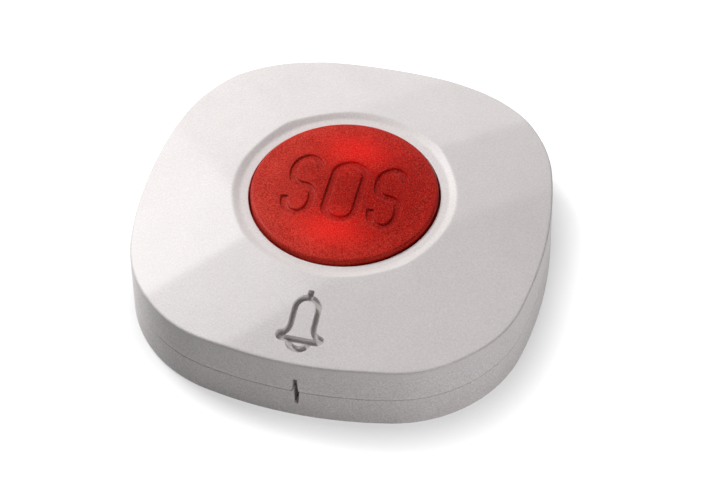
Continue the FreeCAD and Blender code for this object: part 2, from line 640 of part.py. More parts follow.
def board_screws():
    """The four screws that hold the board up against the bosses of the front half."""
    body = new_body("board_screws")
    head = new_sketch(body, "head", lift=f"{BOARD_BOTTOM} - screw_head_height")
    draw_circle(head, "screw_head_radius", SCREW_OFFSET, SCREW_OFFSET)
    shank = new_sketch(body, "shank", lift=f"{BOARD_BOTTOM} - bond")
    draw_circle(shank, "screw_radius", SCREW_OFFSET, SCREW_OFFSET)
    parts = [pad(body, head, "screw_head_height")]
    parts.append(pad(body, shank, "bond + board_thickness + screw_bite"))
    around(body, parts, 4, "set")
    return body


def switch_base():
    """Moulded base of the push switch, with the chamber for the disc and the plunger."""
    body = new_body("switch_base")
    outline = new_sketch(body, "outline", lift=BOARD_TOP)
    draw_box(outline, "-switch_half", "switch_half", "-switch_half", "switch_half")
    pad(body, outline, "switch_height")
    chamber = new_sketch(body, "chamber", lift=f"{BOARD_TOP} + switch_wall")
    draw_circle(chamber, "plunger_foot_radius + plunger_clearance")
    pocket(body, chamber, "switch_height", flip=True)
    return body


def switch_cover():
    """Sheet metal cover that keeps the plunger in the switch."""
    body = new_body("switch_cover")
    plate = new_sketch(body, "plate", lift=f"{BOARD_TOP} + switch_height")
    draw_box(plate, "-switch_half", "switch_half", "-switch_half", "switch_half")
    draw_circle(plate, "plunger_radius + plunger_clearance")
    pad(body, plate, "switch_cover_thickness")
    return body


def switch_plunger():
    """Plunger of the switch, which the cap's post stands on."""
    body = new_body("switch_plunger")
    profile = new_sketch(body, "profile", "XZ_Plane")
    foot_top = f"({BOARD_TOP} + switch_height)"
    draw_polygon(profile, [
        ("0", f"{foot_top} - plunger_foot_height"),
        ("plunger_foot_radius", f"{foot_top} - plunger_foot_height"),
        ("plunger_foot_radius", foot_top), ("plunger_radius", foot_top),
        ("plunger_radius", PLUNGER_TOP), ("0", PLUNGER_TOP)])
    turn_profile("Revolution", body, profile)
    return body


def snap_disc():
    """Domed spring disc that closes the contact when the plunger reaches it."""
    body = new_body("snap_disc")
    floor = f"({BOARD_TOP} + switch_wall)"
    profile = new_sketch(body, "profile", "XZ_Plane")
    draw_polygon(profile, [
        ("0", f"{floor} + snap_disc_rise"), ("plunger_foot_radius / 2", f"{floor} + snap_disc_rise * 0.75"),
        ("plunger_foot_radius", floor), ("plunger_foot_radius", f"{floor} + snap_disc_thickness"),
        ("plunger_foot_radius / 2", f"{floor} + snap_disc_rise * 0.75 + snap_disc_thickness"),
        ("0", f"{floor} + snap_disc_rise + snap_disc_thickness")])
    turn_profile("Revolution", body, profile)
    return body


def switch_terminals():
    """The four bent terminals of the switch, through the board."""
    body = new_body("switch_terminals")
    legs = new_sketch(body, "legs", lift=f"{BOARD_BOTTOM} - lead_stub")
    for side in ("", "-"):
        for end in ("", "-"):
            across = f"{side}{TERMINAL_X}"
            draw_box(legs, f"{across} - terminal_thickness / 2", f"{across} + terminal_thickness / 2",
                     f"{end}terminal_y - terminal_width / 2", f"{end}terminal_y + terminal_width / 2")
    pad(body, legs, "lead_stub + board_thickness + terminal_rise")
    return body


def indicator_lamp(label, side):
    """Domed lamp on two leads, which lights the cap from behind."""
    body = new_body(label)
    top = f"({CAP_CEILING} - press_travel - led_clearance)"
    foot = f"({BOARD_TOP} + led_standoff)"
    rim = new_sketch(body, "rim", lift=foot)
    draw_circle(rim, "led_rim_radius", "0", f"{side}led_offset")
    pad(body, rim, "led_rim_height")
    lens = new_sketch(body, "lens", lift=foot)
    draw_circle(lens, "led_radius", "0", f"{side}led_offset")
    pad(body, lens, f"{top} - {foot}")
    dress("Fillet", body, "led_radius * 0.95", at_height(top), "dome")
    leads = new_sketch(body, "leads", lift=f"{BOARD_BOTTOM} - lead_stub")
    for end in ("", "-"):
        across, upward = f"{end}led_lead_half", f"{side}led_offset"
        draw_box(leads, f"{across} - led_lead_width / 2", f"{across} + led_lead_width / 2",
                 f"{upward} - led_lead_width / 2", f"{upward} + led_lead_width / 2")
    pad(body, leads, "lead_stub + board_thickness + led_standoff + bond")
    return body


def coin_cell():
    """Round lithium cell, its raised negative face towards the board."""
    body = new_body("coin_cell")
    can = new_sketch(body, "can", lift=CELL_BOTTOM)
    draw_circle(can, "cell_radius", "-cell_x")
    pad(body, can, "cell_thickness - cell_cap_rise")
    dress("Chamfer", body, "cell_edge", lambda edge: isinstance(edge.Curve, Part.Circle), "edges")
    face = new_sketch(body, "negative_face", lift=f"{CELL_TOP} - cell_cap_rise - bond")
    draw_circle(face, "cell_cap_radius", "-cell_x")
    pad(body, face, "cell_cap_rise + bond")
    return body


def cell_holder():
    """Round holder under the board, open to the back, with lips, two gaps and room for the contacts."""
    body = new_body("cell_holder")
    inner = "(cell_radius + holder_clearance)"
    outer = f"({inner} + holder_wall)"
    low = f"({CELL_BOTTOM} - holder_lip_height)"
    ledge_low = f"({CELL_TOP} - cell_cap_rise + holder_clearance)"
    wall = new_sketch(body, "wall", lift=low)
    draw_circle(wall, outer, "-cell_x")
    draw_circle(wall, inner, "-cell_x")
    pad(body, wall, f"{BOARD_BOTTOM} - {low}")
    ledge = new_sketch(body, "ledge", lift=ledge_low)
    draw_circle(ledge, f"{inner} + bond", "-cell_x")
    draw_circle(ledge, f"{inner} - holder_ledge", "-cell_x")
    pad(body, ledge, f"{BOARD_BOTTOM} - {ledge_low}")
    lips = new_sketch(body, "lips", lift=low)
    draw_circle(lips, f"{inner} + bond", "-cell_x")
    draw_circle(lips, f"{inner} - holder_lip", "-cell_x")
    pad(body, lips, "holder_lip_height - holder_clearance / 2")
    gaps = new_sketch(body, "gaps", lift=f"{low} - cut_margin")
    draw_box(gaps, f"-cell_x - {outer} - cut_margin", f"-cell_x + {outer} + cut_margin",
             "-holder_gap_half", "holder_gap_half")
    pocket(body, gaps, f"{ledge_low} - {low} + cut_margin", flip=True)
    passage = new_sketch(body, "contact_passage", lift=f"{ledge_low} - bond")
    draw_box(passage, f"-cell_x + {inner}", f"-cell_x + {outer} + cut_margin",
             "-holder_gap_half", "holder_gap_half")
    pocket(body, passage, f"{BOARD_BOTTOM} - {ledge_low} + bond + cut_margin", flip=True)
    seat = new_sketch(body, "contact_seat", lift=f"{BOARD_BOTTOM} - contact_thickness - contact_clearance")
    draw_box(seat, f"{NEGATIVE_FOOT} - contact_clearance", "-cell_x",
             "-contact_half_width - contact_clearance", "contact_half_width + contact_clearance")
    pocket(body, seat, "contact_thickness + contact_clearance + cut_margin", flip=True)
    return body


def positive_contact():
    """Bent strip that runs down beside the cell and holds its edge from below."""
    body = new_body("positive_contact")
    inner = "(-cell_x + cell_radius + holder_clearance)"
    outer = f"({inner} + contact_thickness)"
    profile = new_sketch(body, "profile", "XZ_Plane")
    draw_polygon(profile, [
        (f"{outer} + contact_foot", BOARD_BOTTOM), (inner, BOARD_BOTTOM),
        (inner, CELL_BOTTOM), (f"{inner} - contact_finger", CELL_BOTTOM),
        (f"{inner} - contact_finger", f"{CELL_BOTTOM} - contact_thickness"),
        (outer, f"{CELL_BOTTOM} - contact_thickness"), (outer, f"{BOARD_BOTTOM} - contact_thickness"),
        (f"{outer} + contact_foot", f"{BOARD_BOTTOM} - contact_thickness")])
    pad(body, profile, "2 * contact_half_width", middle=True)
    return body


def negative_contact():
    """Leaf on the board that bows down to the raised face of the cell."""
    body = new_body("negative_contact")
    bend = f"({NEGATIVE_FOOT} + contact_foot)"
    under = f"({BOARD_BOTTOM} - contact_thickness)"
    tip = "-cell_x + contact_dimple + contact_foot"
    profile = new_sketch(body, "profile", "XZ_Plane")
    draw_polygon(profile, [
        (NEGATIVE_FOOT, BOARD_BOTTOM), (NEGATIVE_FOOT, under), (bend, under),
        ("-cell_x - contact_dimple", CELL_TOP), ("-cell_x + contact_dimple", CELL_TOP),
        (tip, f"{CELL_TOP} + contact_thickness"), (tip, f"{CELL_TOP} + 2 * contact_thickness"),
        ("-cell_x + contact_dimple", f"{CELL_TOP} + contact_thickness"),
        ("-cell_x - contact_dimple", f"{CELL_TOP} + contact_thickness"), (bend, BOARD_BOTTOM)])
    pad(body, profile, "2 * contact_half_width", middle=True)
    return body


def antenna_coil():
    """Wire aerial wound into a coil along the board's edge, its first end straight down into the board."""
    wire, radius = number("aerial_wire"), number("aerial_radius")
    axis_height = number(f"{BOARD_TOP} + aerial_lift + aerial_wire + aerial_radius")
    middle = FreeCAD.Vector(number("-aerial_length / 2"), number(AERIAL_Y), axis_height)
    tail = axis_height - number(f"{BOARD_BOTTOM} - lead_stub")
    return new_feature("antenna_coil", wound_wire(
        middle, FreeCAD.Vector(1, 0, 0), FreeCAD.Vector(0, radius, 0), number("aerial_length"),
        number("aerial_turns"), wire, tail))


def controller_chip():
    """Controller in a flat package with a row of bent leads down each side."""
    body = new_body("controller_chip")
    outline = new_sketch(body, "package", lift=f"{BOARD_TOP} + chip_lift")
    draw_box(outline, "controller_x - controller_half_x", "controller_x + controller_half_x",
             "controller_y - controller_half_y", "controller_y + controller_half_y")
    pad(body, outline, "controller_height - chip_lift")
    row = "(chip_lead_pitch * (chip_lead_count - 1))"
    for side, sign in (("left", "-"), ("right", "")):
        root = f"(controller_x {sign or '+'} controller_half_x)"
        inward = f"({root} {'+' if sign else '-'} bond)"
        knee = f"({root} {sign or '+'} chip_lead_reach / 2)"
        toe = f"({root} {sign or '+'} chip_lead_reach)"
        middle = f"({BOARD_TOP} + controller_height / 2)"
        lead = new_sketch(body, f"{side}_lead", "XZ_Plane", lift=f"{row} / 2 - controller_y")
        draw_polygon(lead, [
            (inward, middle), (inward, f"{middle} + chip_lead_thickness"),
            (knee, f"{middle} + chip_lead_thickness"),
            (knee, f"{BOARD_TOP} + chip_lead_thickness"), (toe, f"{BOARD_TOP} + chip_lead_thickness"),
            (toe, BOARD_TOP), (f"{knee} {'+' if sign else '-'} chip_lead_thickness", BOARD_TOP),
            (f"{knee} {'+' if sign else '-'} chip_lead_thickness", middle)])
        first = pad(body, lead, "chip_lead_width", middle=True)
        leads = body.newObject("PartDesign::LinearPattern", f"controller_chip_{side}_leads")
        leads.Originals = [first]
        leads.Direction = (origin_feature(body, "Y_Axis"), [""])
        leads.setExpression("Length", linked(row))
        leads.setExpression("Occurrences", linked("chip_lead_count"))
        finish(body, leads)
    return body


def radio_chip():
    """Small square radio chip beside the aerial."""
    body = new_body("radio_chip")
    outline = new_sketch(body, "package", lift=BOARD_TOP)
    draw_box(outline, "radio_x - radio_half", "radio_x + radio_half",
             f"{RADIO_Y} - radio_half", f"{RADIO_Y} + radio_half")
    pad(body, outline, "radio_height")
    return body


def crystal_can():
    """Metal can of the crystal, lying flat on the board."""
    body = new_body("crystal_can")
    outline = new_sketch(body, "outline", lift=BOARD_TOP)
    draw_box(outline, "crystal_x - crystal_half_x", "crystal_x + crystal_half_x",
             "crystal_y - crystal_half_y", "crystal_y + crystal_half_y")
    pad(body, outline, "crystal_height")
    dress("Fillet", body, "crystal_round", lambda edge: edge.BoundBox.ZLength > 0.5, "corners")
    return body


def aerial_choke():
    """Bobbin-shaped choke between the radio chip and the aerial."""
    body = new_body("aerial_choke")
    for name, lift, radius, height in (
            ("foot", BOARD_TOP, "choke_radius", "choke_flange"),
            ("waist", BOARD_TOP, "choke_core_radius", "choke_height"),
            ("head", f"{BOARD_TOP} + choke_height - choke_flange", "choke_radius", "choke_flange")):
        disc = new_sketch(body, name, lift=lift)
        draw_circle(disc, radius, "choke_x", f"{BOARD_HALF} - choke_inset")
        pad(body, disc, height)
    return body


def small_parts(label, rows, height):
    """Blocks soldered on the board, in rows counted from its edge: each row is a list of columns."""
    body = new_body(label)
    outline = new_sketch(body, "blocks", lift=BOARD_TOP)
    for row, columns in rows:
        for column in columns:
            across = f"(passive_x - {column} * passive_pitch_x)"
            upward = f"(passive_inset + {row} * passive_pitch_y - {BOARD_HALF})"
            draw_box(outline, f"{across} - passive_half_x", f"{across} + passive_half_x",
                     f"{upward} - passive_half_y", f"{upward} + passive_half_y")
    pad(body, outline, height)
    return body


PIECES = [
    front_cover(),
    rear_cover(),
    button_cap(),
    return_spring(),
    main_board(),
    board_screws(),
    switch_base(),
    switch_cover(),
    switch_plunger(),
    snap_disc(),
    switch_terminals(),
    indicator_lamp("led_upper", ""),
    indicator_lamp("led_lower", "-"),
    coin_cell(),
    cell_holder(),
    positive_contact(),
    negative_contact(),
    antenna_coil(),
    controller_chip(),
    radio_chip(),
    crystal_can(),
    aerial_choke(),
    small_parts("capacitors", [(3, (0, 1)), (2, (0, 1, 2))], "capacitor_height"),
    small_parts("resistors", [(1, (0, 1, 2)), (0, (0, 1, 2))], "resistor_height"),
]
doc.recompute()

CUTTERS = ("PartDesign::Pocket", "PartDesign::Groove")
for item in doc.Objects:
    if "Invalid" in item.State or "Error" in item.State:
        raise RuntimeError(f"{item.Name} failed: {item.State}")
    if item.TypeId in CUTTERS and item.BaseFeature.Shape.Volume - item.Shape.Volume < 1e-6:
        raise RuntimeError(f"{item.Name} cuts nothing")

os.makedirs("parts", exist_ok=True)
for piece in PIECES:
    if piece.Shape.isNull() or not piece.Shape.isValid():
        raise RuntimeError(f"{piece.Label} has no valid shape")
    piece.Shape.exportStep(f"parts/{piece.Label}.step")
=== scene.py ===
"""Wireless panic button: faceted white case with a large red thumb cap, dressed on its CAD frame."""

import json
import math

import bmesh
import bpy
import numpy as np
from mathutils import Matrix, Vector
from mathutils.geometry import delaunay_2d_cdt


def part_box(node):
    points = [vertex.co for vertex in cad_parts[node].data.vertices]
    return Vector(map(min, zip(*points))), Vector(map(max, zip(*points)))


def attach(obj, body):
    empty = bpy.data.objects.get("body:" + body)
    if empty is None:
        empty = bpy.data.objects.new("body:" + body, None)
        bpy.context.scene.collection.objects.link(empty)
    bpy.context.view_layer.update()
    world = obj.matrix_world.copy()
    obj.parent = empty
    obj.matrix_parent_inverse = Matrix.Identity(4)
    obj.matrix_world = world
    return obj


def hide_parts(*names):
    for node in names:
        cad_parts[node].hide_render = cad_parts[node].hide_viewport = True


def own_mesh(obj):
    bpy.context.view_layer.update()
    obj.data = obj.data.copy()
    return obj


bl_info = {
    "name": "Wireless Panic Button",
    "version": (1, 0, 0),
    "blender": (4, 5, 0),
    "location": "View3D > Sidebar > Panic Button",
    "description": "Builds the case, the lit thumb cap and the radio board of a wireless panic button",
    "category": "Object",
}

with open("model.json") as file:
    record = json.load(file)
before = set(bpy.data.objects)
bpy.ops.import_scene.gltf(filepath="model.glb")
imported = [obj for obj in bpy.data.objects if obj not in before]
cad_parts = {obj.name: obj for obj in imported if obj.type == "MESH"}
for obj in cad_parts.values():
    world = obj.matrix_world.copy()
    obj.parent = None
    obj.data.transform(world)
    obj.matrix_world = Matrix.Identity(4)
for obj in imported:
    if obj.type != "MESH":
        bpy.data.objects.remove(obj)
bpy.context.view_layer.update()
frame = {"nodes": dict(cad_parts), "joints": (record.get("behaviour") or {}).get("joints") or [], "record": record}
MM = 0.001


def length(default, label, description):
    """A size in metres that the user can change."""
    return bpy.props.FloatProperty(
        name=label, description=description, default=default * MM, unit="LENGTH", subtype="DISTANCE", precision=5)


def angle(default, label, description):
    """An angle that the user can change."""
    return bpy.props.FloatProperty(
        name=label, description=description, default=math.radians(default), unit="ROTATION", subtype="ANGLE")


def share(default, label, description):
    """A number from 0 to 1 that the user can change."""
    return bpy.props.FloatProperty(
        name=label, description=description, default=default, min=0, max=1, subtype="FACTOR")


def colour(default, label, description):
    """A colour that the user can change."""
    return bpy.props.FloatVectorProperty(
        name=label, description=description, default=default, size=3, min=0, max=1, subtype="COLOR")


class CaseSettings(bpy.types.PropertyGroup):
    """Form and finish of the white case."""
    foot_half: length(32.75, "Foot Half", "Half the width of the case at its foot")
    side_bow_radius: length(67.6, "Side Bow", "Radius of the four bowed sides at the foot")
    corner_radius: length(22.0, "Corner", "Radius of the four round corners at the foot")
    draft: angle(3.05, "Draft", "Lean of the side walls")
    rim_height: length(12.2, "Rim Height", "Where the facets start, above the back")
    rim_radius: length(0.35, "Rim Rounding", "Rounding between side walls and facets")
    seam_break: length(0.06, "Seam Edge", "Broken edge along the seam")
    crest_radius: length(20.5, "Crest Radius", "Where the facets of one side cross")
    crest_rise: length(2.72, "Crest Rise", "Height of that crossing above the rim")
    side_facet_inset: length(1.55, "Side Facet Inset", "Side facet at rim height, in from the foot")
    side_facet_half: length(10.5, "Side Facet Half", "Half the width of the side facet at the rim")
    corner_facet_inset: length(7.95, "Corner Inset", "Corner ridge at the rim, in from the foot")
    inner_facet_rise: length(0.3, "Inner Facet Rise", "Facet at the dish above the crossing")
    crease_softness: length(0.05, "Crease Softness", "How softly facets run into each other")
    opening_radius: length(15.0, "Opening", "Hole that the cap stands in")
    dish_width: length(2.5, "Dish Width", "Ring that falls towards the hole")
    dish_depth: length(0.62, "Dish Depth", "How far that ring falls")
    shelf_width: length(1.35, "Shelf Width", "Gentle inner part of the dish")
    shelf_rise: length(0.08, "Shelf Rise", "How far the shelf rises outwards")
    lip_radius: length(0.12, "Lip Rounding", "Rounding of the edge of the hole")
    plastic: colour((0.80, 0.757, 0.748), "Plastic", "Colour of the case")
    roughness: share(0.46, "Roughness", "Roughness of the case")
    grain_depth: length(0.032, "Grain Depth", "Depth of the eroded texture")
    grain_size: length(0.28, "Grain Size", "Width of one grain of that texture")


class InsideSettings(bpy.types.PropertyGroup):
    """Form of the inside of the front half."""
    inner_inset: length(2.314, "Inner Wall", "Inner face of the wall, in from the foot")
    ceiling: length(10.4, "Ceiling", "Underside of the case at its wall")
    cap_seat: length(13.4, "Cap Seat", "Underside of the dish, where the cap's flange rests")
    collar_inner: length(16.9, "Collar Bore", "Guide collar round the flange of the cap")
    collar_outer: length(18.1, "Collar Outside", "Outside of the guide collar")
    groove_inset: length(1.414, "Groove", "Outer wall of the groove for the tongue, in from the foot")
    groove_top: length(7.5, "Groove Top", "Top of that groove")
    boss_radius: length(2.6, "Boss", "Bosses that carry the board")
    pilot_radius: length(0.99, "Pilot", "Hole in a boss")
    pilot_depth: length(3.4, "Pilot Depth", "Depth of that hole")
    screw_offset: length(19.04, "Screws", "Board screws from the axis, in X and in Y")
    catch_low: length(8.2, "Catch", "Lower edge of the pocket for a snap hook")
    catch_half: length(3.15, "Catch Half", "Half the width of that pocket")
    catch_depth: length(0.75, "Catch Depth", "Depth of that pocket into the wall")
    key_half: length(0.6, "Key", "Half the width of the rib that stops the cap turning")
    key_inner: length(16.0, "Key Reach", "Inner face of that rib")
    seam_gap: length(0.13, "Seam Gap", "Gap between the halves of the case")
    seam_gap_depth: length(0.6, "Seam Gap Depth", "How far that gap reaches in")
    slot_top: length(8.6, "Slot Top", "Upper end of the prying slot")
    slot_low: length(3.15, "Slot Low", "Lower end of the prying slot")
    slot_half: length(0.57, "Slot Half", "Half the width of the slot at the seam")
    slot_top_half: length(0.44, "Slot Top Half", "Half its width at the upper end")
    slot_low_half: length(0.37, "Slot Low Half", "Half its width at the lower end")
    slot_depth: length(1.2, "Slot Depth", "Depth of the slot")
    slot_lean: length(0.3, "Slot Lean", "How far one side wall of the slot leans")
    slot_step: length(0.17, "Slot Step", "How far the lower half of the slot lies towards +X")


class CapSettings(bpy.types.PropertyGroup):
    """Form and finish of the thumb cap and its engraving."""
    radius: length(14.65, "Radius", "Outside of the cap")
    edge_radius: length(0.5, "Edge", "Rounding of the top edge")
    crown: length(0.28, "Crown", "How far the top falls from its middle to its edge")
    skirt_inner: length(13.15, "Skirt", "Inside of the skirt")
    flange_thickness: length(1.0, "Flange", "Thickness of the flange")
    flange_radius: length(16.6, "Flange Radius", "Outside of the flange")
    ceiling: length(14.2, "Ceiling", "Underside of the top")
    guide_outer: length(4.85, "Guide Outside", "Ring that centres the spring")
    guide_inner: length(4.05, "Guide Inside", "Inside of that ring")
    guide_low: length(13.3, "Guide Low", "Lower end of that ring")
    post_radius: length(2.2, "Post", "Post that presses the switch")
    keyway_half: length(0.85, "Keyway", "Half the width of the notch in the flange")
    keyway_inner: length(15.75, "Keyway Depth", "Inner end of that notch")
    letter_height: length(13.1, "Letter Height", "Height of an engraved S")
    letter_width: length(5.3, "Letter Width", "Width of an S")
    round_letter_height: length(12.9, "Round Letter Height", "Height of the O")
    round_letter_width: length(5.95, "Round Letter Width", "Width of the O")
    letter_pitch: length(6.8, "Letter Pitch", "From the O to either S")
    letter_middle: length(-0.45, "Letter Middle", "Middle of the word, from the axis towards +Y")
    letter_side: length(0.2, "Letter Side", "Middle of the word, from the axis towards +X")
    stroke: length(1.15, "Stroke", "Width of the engraved line")
    stroke_depth: length(0.32, "Stroke Depth", "Depth of the engraved line")
    stroke_slant: length(0.11, "Stroke Slant", "Half the width of the wall of the engraved line")
    lamp_offset: length(8.5, "Lamps", "Bright spots from the axis, along Y")
    plastic: colour((0.2, 0.0005, 0.0005), "Plastic", "Colour of the cap")
    flecks: colour((0.53, 0.008, 0.005), "Flecks", "Colour of the light flecks in it")
    glow: colour((0.95, 0.008, 0.007), "Glow", "Colour of the light that comes through")
    glow_strength: share(0.39, "Glow Strength", "Strength of that light")


class MarkSettings(bpy.types.PropertyGroup):
    """The bell engraved beside the prying slot."""
    middle_y: length(-25.0, "Middle", "Middle of the bell, along Y")
    height: length(9.3, "Height", "Height of the bell with its clapper")
    stroke: length(0.85, "Stroke", "Width of the engraved line")
    depth: length(0.75, "Depth", "Depth of the engraved line")
    slant: length(0.07, "Slant", "Half the width of the wall of the engraved line")


class ScrewSettings(bpy.types.PropertyGroup):
    """The four screws that hold the board."""
    head_radius: length(1.8, "Head Radius", "Radius of a screw head")
    shank_radius: length(0.93, "Shank Radius", "Outside of the thread")
    pitch: length(0.7, "Pitch", "Pitch of the thread")
    recess_width: length(0.45, "Recess Width", "Width of one arm of the cross recess")
    recess_length: length(2.1, "Recess Length", "Length of one arm of the cross recess")
    recess_depth: length(0.7, "Recess Depth", "Depth of the cross recess")


class SpringSettings(bpy.types.PropertyGroup):
    """The spring that lifts the cap."""
    wire: length(0.25, "Wire", "Radius of the wire")
    turns: bpy.props.FloatProperty(name="Turns", description="How often the wire goes round", default=3.5)


class SolderSettings(bpy.types.PropertyGroup):
    """Solder round the leads under the board."""
    radius: length(0.75, "Radius", "Radius of a solder joint on the board")
    height: length(0.42, "Height", "Height of a solder joint")
    lead_spacing: length(2.54, "Lead Spacing", "Between the two leads of a lamp")
    terminal_width: length(0.7, "Terminal Width", "Width of a switch terminal")
    terminal_thickness: length(0.25, "Terminal Thickness", "Thickness of a switch terminal")
    wire_radius: length(0.3, "Wire", "Radius of the aerial's wire")


class StageSettings(bpy.types.PropertyGroup):
    """Camera and lights."""
    azimuth: angle(14.56, "Azimuth", "Camera round the object, from the -Y side towards +X")
    elevation: angle(49.26, "Elevation", "Camera above the horizon")
    roll: angle(-1.206, "Roll", "Camera turned about its line of sight")
    distance: length(259.18, "Distance", "Camera from the frame's origin")
    lens: bpy.props.FloatProperty(name="Lens", description="Focal length", default=81.43, unit="CAMERA")
    shift_x: bpy.props.FloatProperty(name="Shift X", description="Framing sideways", default=0.0088)
    shift_y: bpy.props.FloatProperty(name="Shift Y", description="Framing upwards", default=0.0095)


SETTINGS = {
    "button_case": CaseSettings,
    "button_inside": InsideSettings,
    "button_cap": CapSettings,
    "button_mark": MarkSettings,
    "button_screws": ScrewSettings,
    "button_spring": SpringSettings,
    "button_solder": SolderSettings,
    "button_stage": StageSettings,
}


class Wire:
    """A node's output that takes part in arithmetic: each operation adds its Math node."""

    def __init__(self, graph, socket):
        self.graph = graph
        self.socket = socket

    def __add__(self, other):
        return self.graph.number("ADD", self, other)

    def __radd__(self, other):
        return self.graph.number("ADD", other, self)

    def __sub__(self, other):
        return self.graph.number("SUBTRACT", self, other)

    def __rsub__(self, other):
        return self.graph.number("SUBTRACT", other, self)

    def __mul__(self, other):
        return self.graph.number("MULTIPLY", self, other)

    def __rmul__(self, other):
        return self.graph.number("MULTIPLY", other, self)

    def __truediv__(self, other):
        return self.graph.number("DIVIDE", self, other)

    def __pow__(self, other):
        return self.graph.number("POWER", self, other)

    def __rpow__(self, other):
        return self.graph.number("POWER", other, self)

    def __lt__(self, other):
        return self.graph.number("LESS_THAN", self, other)

    def __gt__(self, other):
        return self.graph.number("GREATER_THAN", self, other)

    def clamp(self):
        return self.graph.number("MINIMUM", self.graph.number("MAXIMUM", self, 0.0), 1.0)


class Graph:
    """A node tree under construction."""

    def __init__(self, tree):
        self.tree = tree

    def add(self, kind, settings=None, inputs=None, output=0):
        """Add a node: its settings first, then the values or wires of its sockets."""
        node = self.tree.nodes.new(kind)
        for name, value in (settings or {}).items():
            setattr(node, name, value)
        for name, value in (inputs or {}).items():
            for each in value if isinstance(value, list) else [value]:
                if isinstance(each, Wire):
                    self.tree.links.new(each.socket, node.inputs[name])
                else:
                    node.inputs[name].default_value = each
        return None if output is None else Wire(self, node.outputs[output])

    def number(self, operation, *values):
        """A Math node on values or wires."""
        return self.add("ShaderNodeMath", {"operation": operation}, dict(enumerate(values)))

    def split(self, vector):
        """The three parts of a vector."""
        node = self.tree.nodes.new("ShaderNodeSeparateXYZ")
        self.tree.links.new(vector.socket, node.inputs[0])
        return [Wire(self, socket) for socket in node.outputs]

    def vector(self, x=0.0, y=0.0, z=0.0):
        """A vector of three values."""
        return self.add("ShaderNodeCombineXYZ", {}, {0: x, 1: y, 2: z})


class Paint(Graph):
    """The shader tree of a new material, or of a world."""

    def __init__(self, target):
        self.target = bpy.data.materials.new(target) if isinstance(target, str) else target
        self.target.use_nodes = True
        super().__init__(self.target.node_tree)
        self.tree.nodes.clear()
        self.place = self.add("ShaderNodeTexCoord", output="Object")

    def noise(self, size, detail=2.0, place_in=None):
        """Noise whose blobs are about a given size across, in metres."""
        return self.add("ShaderNodeTexNoise", {"noise_dimensions": "3D"}, {
            "Vector": place_in or self.place, "Scale": 1 / size, "Detail": detail, "Roughness": 0.55})

    def mix(self, factor, first, second):
        """Blend two colours."""
        return self.add("ShaderNodeMix", {"data_type": "RGBA"}, {
            0: factor, 6: opaque(first), 7: opaque(second)}, output=2)

    def bump(self, height, depth):
        """Surface normal of a height in metres."""
        return self.add("ShaderNodeBump", {}, {"Height": height, "Distance": depth})

    def finish(self, **inputs):
        """Close the material with a principled shader; underscores in names stand for spaces."""
        values = {name.replace("_", " "): opaque(value) for name, value in inputs.items()}
        return self.close(self.add("ShaderNodeBsdfPrincipled", {}, values))

    def rays(self):
        """What kind of ray looks: from the camera, for a shadow, from a gloss or through something clear."""
        node = self.tree.nodes.new("ShaderNodeLightPath")
        kinds = ("Is Camera Ray", "Is Shadow Ray", "Is Glossy Ray", "Is Transmission Ray")
        return [Wire(self, node.outputs[kind]) for kind in kinds]

    def close(self, shader):
        """Make a shader the material's surface."""
        self.add("ShaderNodeOutputMaterial", {"is_active_output": True}, {"Surface": shader}, output=None)
        return self.target


class Shape(Graph):
    """A geometry node tree under construction, with named inputs for its sizes."""

    def __init__(self, name, **sizes):
        super().__init__(bpy.data.node_groups.new(name, "GeometryNodeTree"))
        face = self.tree.interface
        face.new_socket("Geometry", in_out="OUTPUT", socket_type="NodeSocketGeometry")
        face.new_socket("Points", in_out="INPUT", socket_type="NodeSocketGeometry")
        for label in sizes:
            face.new_socket(label.replace("_", " ").title(), in_out="INPUT", socket_type="NodeSocketFloat")
        given = self.tree.nodes.new("NodeGroupInput")
        self.points, *wires = [Wire(self, socket) for socket in list(given.outputs)[:len(sizes) + 1]]
        self.sizes = dict(zip(sizes, wires))
        self.values = sizes

    def move(self, geometry, at=(0, 0, 0), turn=(0, 0, 0), scale=(1, 1, 1)):
        """Place a geometry."""
        return self.add("GeometryNodeTransform", {}, {
            "Geometry": geometry, "Translation": at, "Rotation": turn, "Scale": scale})

    def finish(self, name, points, geometry, finish_in):
        """Repeat the geometry on points and show the result as one plain mesh."""
        on_points = self.add("GeometryNodeMeshToPoints", {}, {"Mesh": self.points})
        copies = self.add("GeometryNodeInstanceOnPoints", {}, {"Points": on_points, "Instance": geometry})
        real = self.add("GeometryNodeRealizeInstances", {}, {"Geometry": copies})
        painted = self.add("GeometryNodeSetMaterial", {}, {"Geometry": real, "Material": finish_in})
        self.add("NodeGroupOutput", {}, {"Geometry": painted}, output=None)
        data = bpy.data.meshes.new(name)
        data.from_pydata(points, [], [])
        made = bpy.data.objects.new(name, data)
        bpy.context.scene.collection.objects.link(made)
        modifier = made.modifiers.new("shape", "NODES")
        modifier.node_group = self.tree
        sockets = [item for item in self.tree.interface.items_tree if item.in_out == "INPUT"][1:]
        for socket, value in zip(sockets, self.values.values()):
            modifier[socket.identifier] = value
        apply_modifiers(made)
        made.data.materials.clear()
        made.data.materials.append(finish_in)
        crease(made.data)
        return made


def opaque(value):
    """Give a plain colour the fourth number that a colour socket wants."""
    if isinstance(value, (tuple, list, bpy.types.bpy_prop_array)) and len(value) == 3:
        return (*value, 1.0)
    return value


def arc(middle, radius, start, end, step=0.12, squash=1.0):
    """Points of an arc in millimetres, from one angle to another in degrees."""
    count = max(3, int(abs(math.radians(end - start)) * radius / step))
    turns = np.radians(np.linspace(start, end, count))
    return np.stack([middle[0] + radius * np.cos(turns), middle[1] + radius * squash * np.sin(turns)], axis=1)


